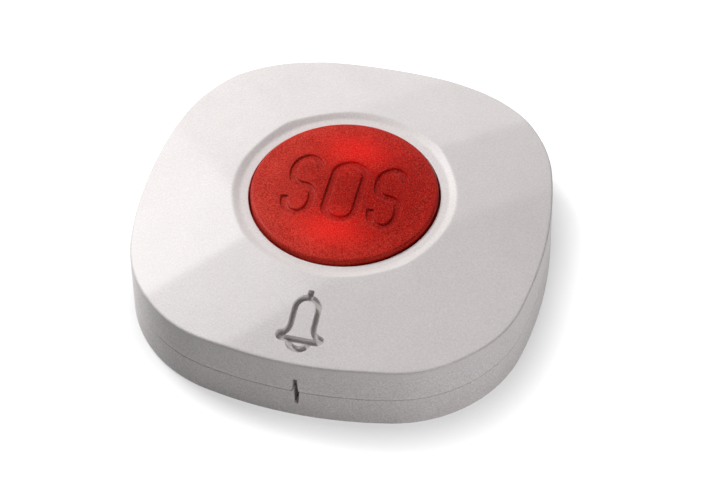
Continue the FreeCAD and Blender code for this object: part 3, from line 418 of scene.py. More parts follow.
def join(*runs, step=0.12):
    """Join runs of points into one line whose points lie evenly."""
    points = np.concatenate([np.asarray(run, float) for run in runs])
    gaps = np.hypot(*np.diff(points, axis=0).T)
    points = points[np.concatenate([[True], gaps > 1e-6])]
    along = np.concatenate([[0], np.cumsum(np.hypot(*np.diff(points, axis=0).T))])
    even = np.linspace(0, along[-1], max(4, int(along[-1] / step)))
    return np.stack([np.interp(even, along, points[:, 0]), np.interp(even, along, points[:, 1])], axis=1)


class Stroke:
    """An engraved line of even width with square ends, or a closed loop. Sizes in millimetres."""
    end_rounding = 0.22
    profile = ((1.0, 0.0), (0.6, 0.04), (0.25, 0.22), (-0.25, 0.7), (-0.6, 0.94), (-1.0, 1.0))

    def __init__(self, points, width, slant, closed=False):
        self.points = points
        self.half = width / 2
        self.closed = closed
        self.levels = [(offset * slant, share_in) for offset, share_in in self.profile]
        ahead = np.roll(points, -1, axis=0) - np.roll(points, 1, axis=0)
        if not closed:
            ahead[0] = points[1] - points[0]
            ahead[-1] = points[-1] - points[-2]
        self.ahead = ahead / np.hypot(*ahead.T)[:, None]

    def contours(self):
        """Closed lines at which the wall of the stroke bends."""
        loops = []
        side = np.stack([-self.ahead[:, 1], self.ahead[:, 0]], axis=1)
        for offset, _ in self.levels:
            reach = self.half + offset
            left, right = self.points + side * reach, self.points - side * reach
            if self.closed:
                loops += [left, right]
                continue
            loops.append(np.concatenate([left, self.end(-1, 1, reach), right[::-1], self.end(0, -1, reach)]))
        return loops

    def end(self, index, sign, reach):
        """The square end of one contour, corners rounded."""
        ahead = self.ahead[index] * sign
        side = np.array([-ahead[1], ahead[0]])
        core = self.half - self.end_rounding
        swing = np.radians(np.linspace(0, 90, 4))[:, None]
        first = core * (side + ahead) + (reach - core) * (side * np.cos(swing) + ahead * np.sin(swing))
        second = core * (ahead - side) + (reach - core) * (ahead * np.cos(swing) - side * np.sin(swing))
        return self.points[index] + np.concatenate([first, second])

    def reach(self, places):
        """How far places are from the middle of the stroke."""
        gaps = np.hypot(places[:, None, 0] - self.points[:, 0], places[:, None, 1] - self.points[:, 1])
        nearest, distance = gaps.argmin(axis=1), gaps.min(axis=1)
        if self.closed:
            return distance
        core = self.half - self.end_rounding
        for index, sign in ((len(self.points) - 1, 1), (0, -1)):
            ahead = self.ahead[index] * sign
            offset = places - self.points[index]
            along = offset @ ahead
            across = np.abs(offset @ np.array([-ahead[1], ahead[0]]))
            out = np.hypot(np.maximum(along - core, 0), np.maximum(across - core, 0))
            inside = np.minimum(np.maximum(along, across) - core, 0)
            distance = np.where((nearest == index) & (along > 0), core + out + inside, distance)
        return distance

    def share(self, places):
        """Share of the full depth at places: 1 on the floor of the stroke and 0 beside it."""
        offsets, shares = zip(*self.levels[::-1])
        return np.interp(self.reach(places) - self.half, offsets, shares)


def fill(mesh, rim, strokes, spacing, height):
    """Fill a loop of vertices with a sheet that is fine along the strokes; height gives its level in metres."""
    outer = np.array([[v.co.x, v.co.y] for v in rim]) / MM
    loops = [outer] + [loop for stroke in strokes for loop in stroke.contours()]
    low, high = outer.min(axis=0), outer.max(axis=0)
    columns = np.arange(low[0], high[0], spacing)
    rows = np.arange(low[1], high[1], spacing * 0.866)
    grid = np.array([(x + spacing / 2 * (j % 2), y) for j, y in enumerate(rows) for x in columns])
    keep = inside(outer, grid)
    fixed = np.concatenate(loops)
    for start in range(0, len(grid), 512):
        part = slice(start, start + 512)
        gaps = np.hypot(grid[part, None, 0] - fixed[:, 0], grid[part, None, 1] - fixed[:, 1])
        keep[part] &= gaps.min(axis=1) > spacing * 0.45
    places = np.concatenate([fixed, grid[keep]])
    edges, start = [], 0
    for loop in loops:
        edges += [(start + i, start + (i + 1) % len(loop)) for i in range(len(loop))]
        start += len(loop)
    flat, _, faces, origins, _, _ = delaunay_2d_cdt([Vector(p) for p in places], edges, [], 1, 1e-6)
    levels = height(np.array([tuple(p) for p in flat]))
    rim_index = {source: v for v, sources in enumerate(origins) for source in sources if source < len(rim)}
    vertices = [None] * len(flat)
    for source, v in rim_index.items():
        vertices[v] = rim[source]
    for v, (x, y) in enumerate(flat):
        if vertices[v] is None:
            vertices[v] = mesh.verts.new((x * MM, y * MM, levels[v]))
    for face in faces:
        mesh.faces.new([vertices[v] for v in face])


def inside(loop, places):
    """Which places lie inside a closed line."""
    result = np.zeros(len(places), bool)
    for (x0, y0), (x1, y1) in zip(loop, np.roll(loop, -1, axis=0)):
        if y0 != y1:
            crosses = (y0 > places[:, 1]) != (y1 > places[:, 1])
            result ^= crosses & (places[:, 0] < x0 + (places[:, 1] - y0) * (x1 - x0) / (y1 - y0))
    return result


def outline(case, turns, inset):
    """Radius of the case's bowed square outline at angles round the axis; the draft only changes its inset."""
    half, bow, corner = case.foot_half / MM, case.side_bow_radius / MM, case.corner_radius / MM
    back = bow - half
    reach = (math.sqrt(2 * (bow - corner) ** 2 - back ** 2) - back) / 2
    lean = math.atan2(reach, reach + back)
    folded = (turns + math.pi / 4) % (math.pi / 2) - math.pi / 4
    tangent_x, tangent_y = reach + corner * math.cos(lean), reach + corner * math.sin(lean)
    change = math.atan2(tangent_y, tangent_x)
    across = np.cos(folded)
    side = np.sqrt((back * across) ** 2 - back ** 2 + (bow - inset) ** 2) - back * across
    toward = reach * across + reach * np.abs(np.sin(folded))
    round_corner = toward + np.sqrt(np.maximum(toward ** 2 - 2 * reach ** 2 + (corner - inset) ** 2, 0))
    return np.where(np.abs(folded) <= change, side, round_corner)


class Front:
    """Height of the faceted front over the back, in millimetres."""

    def __init__(self, case):
        self.rim = case.rim_height / MM
        self.softness = case.crease_softness / MM
        crest = case.crest_radius / MM
        top = self.rim + case.crest_rise / MM
        side = (case.foot_half - case.side_facet_inset) / MM
        corner = (case.foot_half - case.corner_facet_inset) / MM
        half = case.side_facet_half / MM
        self.hole = case.opening_radius / MM
        self.dish_edge = self.hole + case.dish_width / MM
        self.dish_top = top + case.inner_facet_rise / MM
        self.lip = self.dish_top - case.dish_depth / MM
        self.shelf_edge = self.hole + case.shelf_width / MM
        self.shelf_rise = case.shelf_rise / MM
        bearing = math.atan((corner - half) / (side - corner))
        start = half * math.cos(bearing) + side * math.sin(bearing)
        facets = [
            (0, side, crest, self.rim, top),
            (bearing, start, crest * math.sin(bearing), self.rim, top),
            (math.pi / 2 - bearing, start, crest * math.sin(bearing), self.rim, top),
            (0, crest, self.dish_edge, top, self.dish_top),
        ]
        self.planes = [
            (turn + quarter * math.pi / 2, outer, low, (high - low) / (outer - inner))
            for turn, outer, inner, low, high in facets for quarter in range(4)]

    def level(self, x, y):
        """Facets and dish, running softly into each other."""
        heights = [low - slope * (math.cos(turn) * x + math.sin(turn) * y - outer)
                   for turn, outer, low, slope in self.planes]
        distance = np.hypot(x, y)
        shelf = self.lip + self.shelf_rise * (distance - self.hole) / (self.shelf_edge - self.hole)
        fall = self.dish_top - self.lip - self.shelf_rise
        bank = self.lip + self.shelf_rise + fall * (distance - self.shelf_edge) / (self.dish_edge - self.shelf_edge)
        dish = self.softness * np.logaddexp(shelf / self.softness, bank / self.softness)
        exponents = -np.array([*heights, dish]) / self.softness
        peak = exponents.max(axis=0)
        return -self.softness * (peak + np.log(np.exp(exponents - peak).sum(axis=0)))


def bend(start, corner, end, count):
    """Points of a soft bend between two straights."""
    shares = np.linspace(0, 1, count)[:, None, None]
    return (1 - shares) ** 2 * start + 2 * shares * (1 - shares) * corner + shares ** 2 * end


def straight(start, end, count):
    """Points between two ends, without the first."""
    shares = np.linspace(0, 1, count + 1)[1:, None, None]
    return start + shares * (end - start)


def spin(rows, turns):
    """A closed shell through rows of (radius, height) points, one point for each turn, in millimetres."""
    mesh = bmesh.new()
    across, along = np.cos(turns), np.sin(turns)
    rings = [[mesh.verts.new((r * c * MM, r * s * MM, z * MM)) for r, z, c, s in zip(*row, across, along)]
             for row in rows]
    return mesh, rings


def skin(mesh, rings, closed):
    """Quads between neighbouring rings; closed joins the last ring to the first."""
    pairs = list(zip(rings, rings[1:])) + ([(rings[-1], rings[0])] if closed else [])
    for low, high in pairs:
        for j in range(len(low)):
            k = (j + 1) % len(low)
            mesh.faces.new((low[j], low[k], high[k], high[j]))


def piece(name, mesh, material, smooth=35):
    """A finished mesh object at the origin; edges sharper than an angle stay sharp."""
    data = bpy.data.meshes.new(name)
    mesh.to_mesh(data)
    mesh.free()
    return place(name, data, material, smooth)


def place(name, data, material, smooth=35):
    """Show mesh data as an object of its own."""
    made = bpy.data.objects.new(name, data)
    bpy.context.scene.collection.objects.link(made)
    data.materials.clear()
    data.materials.append(material)
    crease(data, smooth)
    return made


def crease(data, smooth=35):
    """Shade a mesh smooth, apart from edges sharper than an angle in degrees."""
    mesh = bmesh.new()
    mesh.from_mesh(data)
    for face in mesh.faces:
        face.smooth = True
    for edge in mesh.edges:
        edge.smooth = edge.is_manifold and edge.calc_face_angle() < math.radians(smooth)
    mesh.to_mesh(data)
    mesh.free()
    if "custom_normal" in data.attributes:
        data.attributes.remove(data.attributes["custom_normal"])


def prism(outline_points, low, high):
    """A closed block over an outline, between two heights in millimetres; counts from below."""
    mesh = bmesh.new()
    base = [mesh.verts.new((x * MM, y * MM, low * MM)) for x, y in outline_points]
    top = [mesh.verts.new((x * MM, y * MM, high * MM)) for x, y in outline_points]
    mesh.faces.new(base[::-1])
    mesh.faces.new(top)
    skin(mesh, [base, top], False)
    return mesh


def disc(middle, radius, count=48):
    """Points round a circle."""
    turns = np.arange(count) * 2 * math.pi / count
    return np.stack([middle[0] + radius * np.cos(turns), middle[1] + radius * np.sin(turns)], axis=1)


def rectangle(x_low, x_high, y_low, y_high):
    """Points round a rectangle."""
    return [(x_low, y_low), (x_high, y_low), (x_high, y_high), (x_low, y_high)]


def quarters(points):
    """The same outline at each of the four sides."""
    points = np.asarray(points, float)
    for quarter in range(4):
        c, s = round(math.cos(quarter * math.pi / 2)), round(math.sin(quarter * math.pi / 2))
        yield points @ np.array([[c, s], [-s, c]])


def combine(target, meshes, operation):
    """Join blocks to a piece or cut them out of it."""
    blocks = []
    for mesh in meshes:
        data = bpy.data.meshes.new("block")
        mesh.to_mesh(data)
        mesh.free()
        blocks.append(bpy.data.objects.new("block", data))
        bpy.context.scene.collection.objects.link(blocks[-1])
        modifier = target.modifiers.new("block", "BOOLEAN")
        modifier.operation = operation
        modifier.solver = "MANIFOLD"
        modifier.object = blocks[-1]
    apply_modifiers(target)
    crease(target.data)
    for block in blocks:
        bpy.data.meshes.remove(block.data)


def apply_modifiers(target):
    """Turn a piece's modifiers into its mesh."""
    evaluated = target.evaluated_get(bpy.context.evaluated_depsgraph_get())
    data = bpy.data.meshes.new_from_object(evaluated)
    old = target.data
    target.modifiers.clear()
    target.data = data
    bpy.data.meshes.remove(old)


def wall_row(case, turns, inset, height):
    """A row of points that follows the bowed square."""
    return np.array([outline(case, turns, inset), height * np.ones_like(turns)])


def front_shell(case, inside, front, turns):
    """Closed shell of the front half: from the seam over the facets to the hole, and back along the inside."""
    lean = math.tan(case.draft)
    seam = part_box("front_cover")[0].z / MM
    ones = np.ones_like(turns)

    def round_row(radius, height):
        """A row that is a circle."""
        return np.array([radius * ones, height * ones])

    rim = front.rim * ones
    for _ in range(12):
        reach = outline(case, turns, rim * lean)
        rim = front.level(reach * np.cos(turns), reach * np.sin(turns))
    rounding = case.rim_radius / MM
    below = rim - rounding
    wall_end = np.array([outline(case, turns, below * lean), below])
    inner = reach - rounding
    facet_start = np.array([inner, front.level(inner * np.cos(turns), inner * np.sin(turns))])
    seam_break = case.seam_break / MM
    wall_start = wall_row(case, turns, (seam + seam_break) * lean, seam + seam_break)
    seam_row = wall_row(case, turns, seam * lean + seam_break, seam)
    seam_bend = bend(seam_row, wall_row(case, turns, seam * lean, seam), wall_start, 4)
    shares = np.linspace(0, 1, 56)[1:-1]
    dish_start = front.dish_edge + 0.5
    lip_round = case.lip_radius / MM
    radii = [inner + (dish_start - inner) * share_in for share_in in shares]
    radii += [radius * ones for radius in np.linspace(dish_start, front.hole + lip_round, 22)]
    facets = [np.array([radius, front.level(radius * np.cos(turns), radius * np.sin(turns))]) for radius in radii]
    lip_low = round_row(front.hole, front.lip - lip_round)
    lip_bend = bend(facets[-1], round_row(front.hole, front.lip), lip_low, 5)
    seat, ceiling = inside.cap_seat / MM, inside.ceiling / MM
    bore, collar = inside.collar_inner / MM, inside.collar_outer / MM
    inset, groove, groove_top = inside.inner_inset / MM, inside.groove_inset / MM, inside.groove_top / MM
    side_ceiling = case.foot_half / MM - inset
    rows = [
        *seam_bend, *straight(wall_start, wall_end, 10), *bend(wall_end, np.array([reach, rim]), facet_start, 8)[1:],
        *facets, *lip_bend[1:], round_row(front.hole, seat), round_row(bore, seat), round_row(bore, ceiling),
        round_row(collar, ceiling), round_row(collar, seat), round_row(side_ceiling, ceiling),
        *(wall_row(case, turns, *row) for row in (
            (inset, ceiling), (inset, groove_top), (groove, groove_top), (groove, seam)))]
    mesh, rings = spin(rows, turns)
    skin(mesh, rings, True)
    return mesh


def front_half(case, inside, mark, material):
    """The white front of the case with everything behind it."""
    front = Front(case)
    turns = np.arange(576) * 2 * math.pi / 576
    mesh = front_shell(case, inside, front, turns)
    engrave_bell(mesh, front, mark)
    bmesh.ops.recalc_face_normals(mesh, faces=mesh.faces)
    made = piece("front_half", mesh, material)
    seat, ceiling, board = inside.cap_seat / MM, inside.ceiling / MM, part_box("main_board")[1].z / MM
    key, bore = inside.key_half / MM, inside.collar_inner / MM
    offset = inside.screw_offset / MM
    bosses = [prism(disc(at[0], inside.boss_radius / MM), board, front.rim - 0.4)
              for at in quarters([(offset, offset)])]
    rib = prism(rectangle(-key, key, inside.key_inner / MM, bore + 0.3), ceiling, seat + 0.3)
    combine(made, [*bosses, rib], "UNION")
    pilots = [prism(disc(at[0], inside.pilot_radius / MM), board - 1, board + inside.pilot_depth / MM)
              for at in quarters([(offset, offset)])]
    wall = case.foot_half / MM - inside.inner_inset / MM
    half, low = inside.catch_half / MM, inside.catch_low / MM
    catches = [prism(points, low, ceiling)
               for points in quarters(rectangle(wall - 0.6, wall + inside.catch_depth / MM, -half, half))]
    combine(made, [*pilots, *catches,
                   slot_half(case, inside, inside.slot_top, inside.slot_top_half, inside.slot_step)], "DIFFERENCE")
    return made


def slot_half(case, inside, end, end_half, shift):
    """One half of the prying slot, from the seam to one end, as a block to cut out."""
    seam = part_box("front_cover")[0].z / MM
    half, end = inside.slot_half / MM, end / MM
    end_half, shift = end_half / MM, shift / MM
    beyond = seam - math.copysign(1, end - seam)
    outer = case.foot_half / MM + 1
    inner = case.foot_half / MM - seam * math.tan(case.draft) - inside.slot_depth / MM
    corners = ((-half, beyond), (half, beyond), (half, seam), (end_half, end), (-end_half, end), (-half, seam))
    mesh = bmesh.new()
    lean = inside.slot_lean / MM
    ends = [[mesh.verts.new(((x + shift + (lean_here if x < 0 else 0)) * MM, -y * MM, z * MM)) for x, z in corners]
            for y, lean_here in ((outer, -lean), (inner, lean))]
    mesh.faces.new(ends[0])
    mesh.faces.new(ends[1][::-1])
    skin(mesh, ends, False)
    bmesh.ops.recalc_face_normals(mesh, faces=mesh.faces)
    return mesh


def rear_half(case, inside, finish):
    """The white back of the case: its packed solid with a gap along the seam and its own half of the slot."""
    seam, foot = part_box("front_cover")[0].z / MM, case.foot_half / MM
    lean = math.tan(case.draft)
    mesh = bmesh.new()
    mesh.from_mesh(frame["nodes"]["rear_cover"].data)
    bmesh.ops.remove_doubles(mesh, verts=mesh.verts, dist=0.0000005)
    made = piece("rear_half", mesh, finish)
    half, low = inside.slot_half / MM + 0.15, inside.slot_low / MM - 0.1
    wall, floor = [-foot + low * lean, -foot + seam * lean], -foot + 1.0
    filling = bmesh.new()
    ends = [[filling.verts.new((x * MM, y * MM, z * MM)) for x, y in rectangle(-half, half, front, floor)]
            for z, front in zip((low, seam), wall)]
    filling.faces.new(ends[0][::-1])
    filling.faces.new(ends[1])
    skin(filling, ends, False)
    combine(made, [filling], "UNION")
    turns = np.arange(576) * 2 * math.pi / 576
    gap, reach, edge = inside.seam_gap / MM, inside.seam_gap_depth / MM, case.seam_break / MM
    inset = seam * lean
    rows = [wall_row(case, turns, *row) for row in (
        (-1.0, seam + 0.5), (inset + reach, seam + 0.5), (inset + reach, seam - gap), (inset + edge, seam - gap),
        (inset - 0.4, seam - gap - edge - 0.4), (-1.0, seam - gap - edge - 0.4))]
    ring, rings = spin(rows, turns)
    skin(ring, rings, True)
    bmesh.ops.recalc_face_normals(ring, faces=ring.faces)
    shift = inside.slot_step * 2
    combine(made, [ring, slot_half(case, inside, inside.slot_low, inside.slot_low_half, shift)], "DIFFERENCE")
    return made


def engrave_bell(mesh, front, mark):
    """Cut the bell into the side facet over the prying slot."""
    strokes = bell(mark)
    low = np.min([s.points.min(axis=0) for s in strokes], axis=0) - 1.4
    high = np.max([s.points.max(axis=0) for s in strokes], axis=0) + 1.4
    depth = mark.depth / MM

    def level(places):
        """Facet height less the engraving, in metres."""
        share_in = np.max([s.share(places) for s in strokes], axis=0)
        return (front.level(places[:, 0], places[:, 1]) - depth * share_in) * MM

    patch(mesh, low, high, strokes, 0.35, level)


def patch(mesh, low, high, strokes, spacing, level):
    """Swap the upward faces between two corners for a sheet that carries the strokes."""
    def within(face):
        middle = face.calc_center_median() / MM
        return low[0] < middle.x < high[0] and low[1] < middle.y < high[1] and face.normal.z > 0.5
    mesh.normal_update()
    upward = [face for face in mesh.faces if within(face)]
    if not upward:
        raise ValueError("no faces to engrave")
    bmesh.ops.delete(mesh, geom=upward, context="FACES")
    border = [edge for edge in mesh.edges if edge.is_boundary]
    rim, edge = [border[0].verts[0]], border[0]
    while True:
        following = edge.other_vert(rim[-1])
        if following is rim[0]:
            break
        rim.append(following)
        edge = next(e for e in following.link_edges if e.is_boundary and e is not edge)
    fill(mesh, rim, strokes, spacing, level)


def bell(mark):
    """A plain bell as engraved lines, in millimetres."""
    y, size = mark.middle_y / MM, mark.height / MM / 9.3
    width, slant = mark.stroke / MM, mark.slant / MM

    def at(points):
        return np.asarray(points, float) * size + (0, y)

    body = at(join(
        arc((0, 1.6), 1.75, 0, 180), arc((-3.9, -0.9), 2.15, 0, -50), arc((-2.6, -2.75), 0.6, 180, 270),
        arc((2.6, -2.75), 0.6, 270, 360), arc((3.9, -0.9), 2.15, 230, 180), [(1.75, 1.6)]))
    return [
        Stroke(body[:-1], width, slant, closed=True),
        Stroke(at(join(arc((0, -3.15), 1.6, 205, 335))), width, slant),
        Stroke(at(join([(0, 3.35), (0, 4.2)])), width, slant),
    ]


def letters(cap):
    """The distress letters as engraved lines, in millimetres."""
    width, slant = cap.stroke / MM, cap.stroke_slant / MM
    high = (cap.letter_height / MM - width) / 2
    round_high = (cap.round_letter_height / MM - width) / 2
    half = (cap.letter_width / MM - width) / 2
    round_half = (cap.round_letter_width / MM - width) / 2
    pitch, middle = cap.letter_pitch / MM, np.array([cap.letter_side, cap.letter_middle]) / MM
    lobe = high / 2
    oval = join(arc((0, round_high - round_half), round_half, 0, 180),
                arc((0, round_half - round_high), round_half, 180, 360), [(round_half, round_high - round_half)])
    upper = arc((0, lobe), half, 28, 180, squash=lobe / half)
    lower = arc((0, -lobe), half, 0, -172, squash=lobe / half)
    waist = bend_line((-half, lobe), (-half, 0), (0, 0)), bend_line((0, 0), (half, 0), (half, -lobe))
    ess = join(upper, *waist, lower)
    return [Stroke(oval[:-1] + middle, width, slant, closed=True),
            *(Stroke(ess + middle + (side * pitch, 0), width, slant) for side in (-1, 1))]


def bend_line(start, corner, end, count=24):
    """Points of a soft bend in a line."""
    shares = np.linspace(0, 1, count)[:, None]
    start, corner, end = map(np.array, (start, corner, end))
    return (1 - shares) ** 2 * start + 2 * shares * (1 - shares) * corner + shares ** 2 * end


def thumb_cap(cap, inside, material):
    """The red thumb cap: engraved top, rounded edge, skirt, flange, spring guide and post."""
    low, high = (corner.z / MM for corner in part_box("button_cap"))
    radius, edge, crown = cap.radius / MM, cap.edge_radius / MM, cap.crown / MM
    flange, seat = cap.flange_radius / MM, inside.cap_seat / MM
    skirt, ceiling = cap.skirt_inner / MM, cap.ceiling / MM
    turns = np.arange(288) * 2 * math.pi / 288
    ones = np.ones_like(turns)
    row = lambda r, z: np.array([r * ones, z * ones])

    def top(distance):
        """Height of the gently crowned top."""
        return high - crown * (distance / radius) ** 2

    start = radius - edge - 0.6
    swing = np.radians(np.linspace(0, 90, 9))
    shoulder = [row(radius - edge + edge * math.sin(a), top(radius) - edge + edge * math.cos(a)) for a in swing]
    rows = [row(start, top(start)), *shoulder, row(radius, seat), row(flange, seat),
            row(flange, seat - cap.flange_thickness / MM), row(skirt, seat - cap.flange_thickness / MM),
            row(skirt, ceiling), row(cap.guide_outer / MM, ceiling), row(cap.guide_outer / MM, cap.guide_low / MM),
            row(cap.guide_inner / MM, cap.guide_low / MM), row(cap.guide_inner / MM, ceiling),
            row(cap.post_radius / MM, ceiling), row(cap.post_radius / MM, low)]
    mesh, rings = spin(rows, turns)
    skin(mesh, rings, False)
    mesh.faces.new(rings[-1])
    strokes = letters(cap)
    depth = cap.stroke_depth / MM

    def level(places):
        share_in = np.max([s.share(places) for s in strokes], axis=0)
        return (top(np.hypot(*places.T)) - depth * share_in) * MM

    fill(mesh, rings[0], strokes, 0.5, level)
    bmesh.ops.recalc_face_normals(mesh, faces=mesh.faces)
    made = piece("thumb_cap", mesh, material)
    half = cap.keyway_half / MM
    notch = prism(rectangle(-half, half, cap.keyway_inner / MM, flange + 1), seat - 2, seat + 0.1)
    combine(made, [notch], "DIFFERENCE")
    return made


def case_plastic(name, case, inside, mark):
    """White moulded plastic with a fine eroded texture, stronger on the walls, and painted shade deep in the slot and
    in the engraved bell.
    """
    paint = Paint(name)
    x, y, z = paint.split(paint.place)
    grain = paint.noise(case.grain_size, 3.0)
    drift = paint.noise(0.007)
    white = np.array(case.plastic)
    walls = ((case.rim_height - 0.001 - z) * (1 / 0.0008)).clamp()
    tone = ((1.25 + 1.75 * walls) * (grain - 0.5) + 0.3 * (drift - 0.5) + 0.5).clamp()
    plain = paint.mix(tone, tuple(white * 0.84), tuple(white * 1.16))
    # Painted shade: the floor of the prying slot, deep in the wall, is painted near black.
    inward = (y + case.foot_half - z * math.tan(case.draft)) * (1 / inside.slot_depth)
    beside = paint.number("ABSOLUTE", x)
    slot_painted_shade = (6.0 * (inward - 0.83)).clamp() * (beside < inside.slot_half * 2) * (y < -0.03)
    slot_painted_shade = slot_painted_shade * (inward < 1.12) * (inside.slot_low < z) * (z < inside.slot_top)
    # Painted shade: the bell's engraved lines turn darker towards their floor.
    side_facet = case.foot_half - case.side_facet_inset
    facet = case.rim_height + (side_facet + y) * (case.crest_rise / (side_facet - case.crest_radius))
    mark_painted_shade = (1.3 * ((facet - z) * (1 / mark.depth) - 0.3)).clamp() * (beside < mark.height * 0.41)
    mark_painted_shade = mark_painted_shade * (y < -case.crest_radius) * (-0.0305 < y) * (case.rim_height - 0.001 < z)
    # The near-black colour mixed in below is the painted shade of the slot and of the bell's lines.
    return paint.finish(
        Base_Color=paint.mix(0.38 * mark_painted_shade + 0.7 * slot_painted_shade, plain, (0.03, 0.027, 0.026)),
        Roughness=case.roughness - 0.05 + 0.1 * grain,
        Normal=paint.bump(grain, case.grain_depth))


def cap_plastic(name, cap):
    """Translucent red plastic, lit from behind at two spots by a painted glow, with a painted sheen towards its left
    side, painted glints and painted shade in its engraved letters.
    """
    paint = Paint(name)
    grain = paint.noise(0.0002)
    cloud = paint.noise(0.004)
    x, y, z = paint.split(paint.place)
    glow = 0
    for side in (1, -1):
        beside, ahead = x * (1 / 0.0055), (y - side * cap.lamp_offset) * (1 / 0.0036)
        away = beside * beside + ahead * ahead
        glow = glow + 2.718 ** (-1 * away)
    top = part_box("button_cap")[1].z
    # Painted shade: the engraved letters are darkened towards their floor, and less of the painted glow shows there.
    recess = ((top - z - (x * x + y * y) * (cap.crown / cap.radius ** 2)) / cap.stroke_depth).clamp()
    speck = (3.2 * (grain - 0.5) + 0.6 * (cloud - 0.5) + 0.5).clamp()
    # Painted glints: sparse pale spots in the base colour stand in for light sparkling on the grain.
    glint = (5.0 * (paint.noise(0.00017, 1.0, paint.add("ShaderNodeMapping", {}, {
        "Vector": paint.place, "Location": (0.01, 0.02, 0.03)})) - 0.56)).clamp()
    # Painted sheen: the plastic and its flecks turn paler away from a point right of the middle, most of all on the
    # left side.
    off_x, off_y = x - 0.006, y - 0.001
    painted_sheen = ((off_x * off_x + off_y * off_y) * (1 / 0.018 ** 2)).clamp()
    ground = paint.mix(0.75 * painted_sheen, tuple(cap.plastic), (0.42, 0.015, 0.01))
    fleck = paint.mix(0.75 * painted_sheen, tuple(cap.flecks), (0.85, 0.08, 0.055))
    mottled = paint.mix(0.8 * glint, paint.mix(speck, ground, fleck), (0.6, 0.1, 0.06))
    return paint.finish(
        Base_Color=paint.mix(0.15 * recess, mottled, (0.1, 0.002, 0.001)),
        Roughness=0.29 + 0.1 * grain,
        Emission_Color=paint.mix(glow * (1 - 0.35 * recess), (0.03, 0.001, 0.0005), tuple(cap.glow)),
        Emission_Strength=cap.glow_strength, Specular_IOR_Level=0.05,
        Normal=paint.bump(grain, 0.00002))


def screw_set(screws, finish):
    """Pan-head screws with a cross recess and a rolled thread, set from below the board."""
    low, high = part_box("board_screws")
    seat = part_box("main_board")[0].z
    offset = high.x - screws.head_radius
    shape = Shape("board_screw", head_radius=screws.head_radius, head_height=seat - low.z,
                  shank_radius=screws.shank_radius, shank_length=high.z - seat, pitch=screws.pitch,
                  recess_width=screws.recess_width, recess_length=screws.recess_length,
                  recess_depth=screws.recess_depth)
    at, vector, add = shape.sizes, shape.vector, shape.add
    rim = at["head_height"] * 0.55
    disc_in = add("GeometryNodeMeshCylinder", {}, {"Vertices": 40, "Radius": at["head_radius"], "Depth": rim}, "Mesh")
    dome = add("GeometryNodeMeshCone", {}, {
        "Vertices": 40, "Radius Top": at["head_radius"] * 1.0, "Radius Bottom": at["head_radius"] * 0.74,
        "Depth": at["head_height"] - rim}, "Mesh")
    head = add("GeometryNodeMeshBoolean", {"operation": "UNION", "solver": "MANIFOLD"}, {"Mesh 2": [
        shape.move(disc_in, at=vector(z=rim * -0.5)), shape.move(dome, at=vector(z=at["head_height"] * -1))]})
    arm = add("GeometryNodeMeshCube", {}, {
        "Size": vector(at["recess_width"], at["recess_length"], at["recess_depth"] * 2)}, "Mesh")
    arms = [shape.move(arm, at=vector(z=at["head_height"] * -1), turn=(0, 0, turn)) for turn in (0, math.pi / 2)]
    head = add("GeometryNodeMeshBoolean", {"operation": "DIFFERENCE", "solver": "MANIFOLD"}, {"Mesh 1": head, "Mesh 2": arms})
    core = at["shank_radius"] * 0.8
    tip = at["shank_length"] * 0.2
    shank = add("GeometryNodeMeshCylinder", {}, {
        "Vertices": 24, "Radius": core, "Depth": at["shank_length"] - tip}, "Mesh")
    point = add("GeometryNodeMeshCone", {}, {
        "Vertices": 24, "Radius Top": core * 0.4, "Radius Bottom": core, "Depth": tip}, "Mesh")
    spiral = add("GeometryNodeCurveSpiral", {}, {
        "Resolution": 24, "Rotations": (at["shank_length"] - tip) / at["pitch"], "Start Radius": core,
        "End Radius": core, "Height": at["shank_length"] - tip})
    ridge = add("GeometryNodeCurvePrimitiveCircle", {}, {"Resolution": 3, "Radius": at["shank_radius"] - core})
    thread = add("GeometryNodeCurveToMesh", {}, {"Curve": spiral, "Profile Curve": ridge, "Fill Caps": True})
    screw = add("GeometryNodeJoinGeometry", {}, {0: [
        head, shape.move(shank, at=vector(z=(at["shank_length"] - tip) * 0.5)),
        shape.move(point, at=vector(z=at["shank_length"] - tip)), thread]})
    points = [(x, y, seat) for x in (-offset, offset) for y in (-offset, offset)]
    return shape.finish("screw_set", points, screw, finish)


def cap_spring(spring, finish):
    """Open coil spring between the board and the cap."""
    low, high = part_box("return_spring")
    shape = Shape("cap_spring", radius=high.x - spring.wire, wire=spring.wire,
                  height=high.z - low.z - 2 * spring.wire, turns=spring.turns)
    at = shape.sizes
    coil = shape.add("GeometryNodeCurveSpiral", {}, {
        "Resolution": 48, "Rotations": at["turns"], "Start Radius": at["radius"], "End Radius": at["radius"],
        "Height": at["height"]})
    section = shape.add("GeometryNodeCurvePrimitiveCircle", {}, {"Resolution": 12, "Radius": at["wire"]})
    wire = shape.add("GeometryNodeCurveToMesh", {}, {"Curve": coil, "Profile Curve": section, "Fill Caps": True})
    return shape.finish("cap_spring", [(0, 0, low.z + spring.wire)], wire, finish)


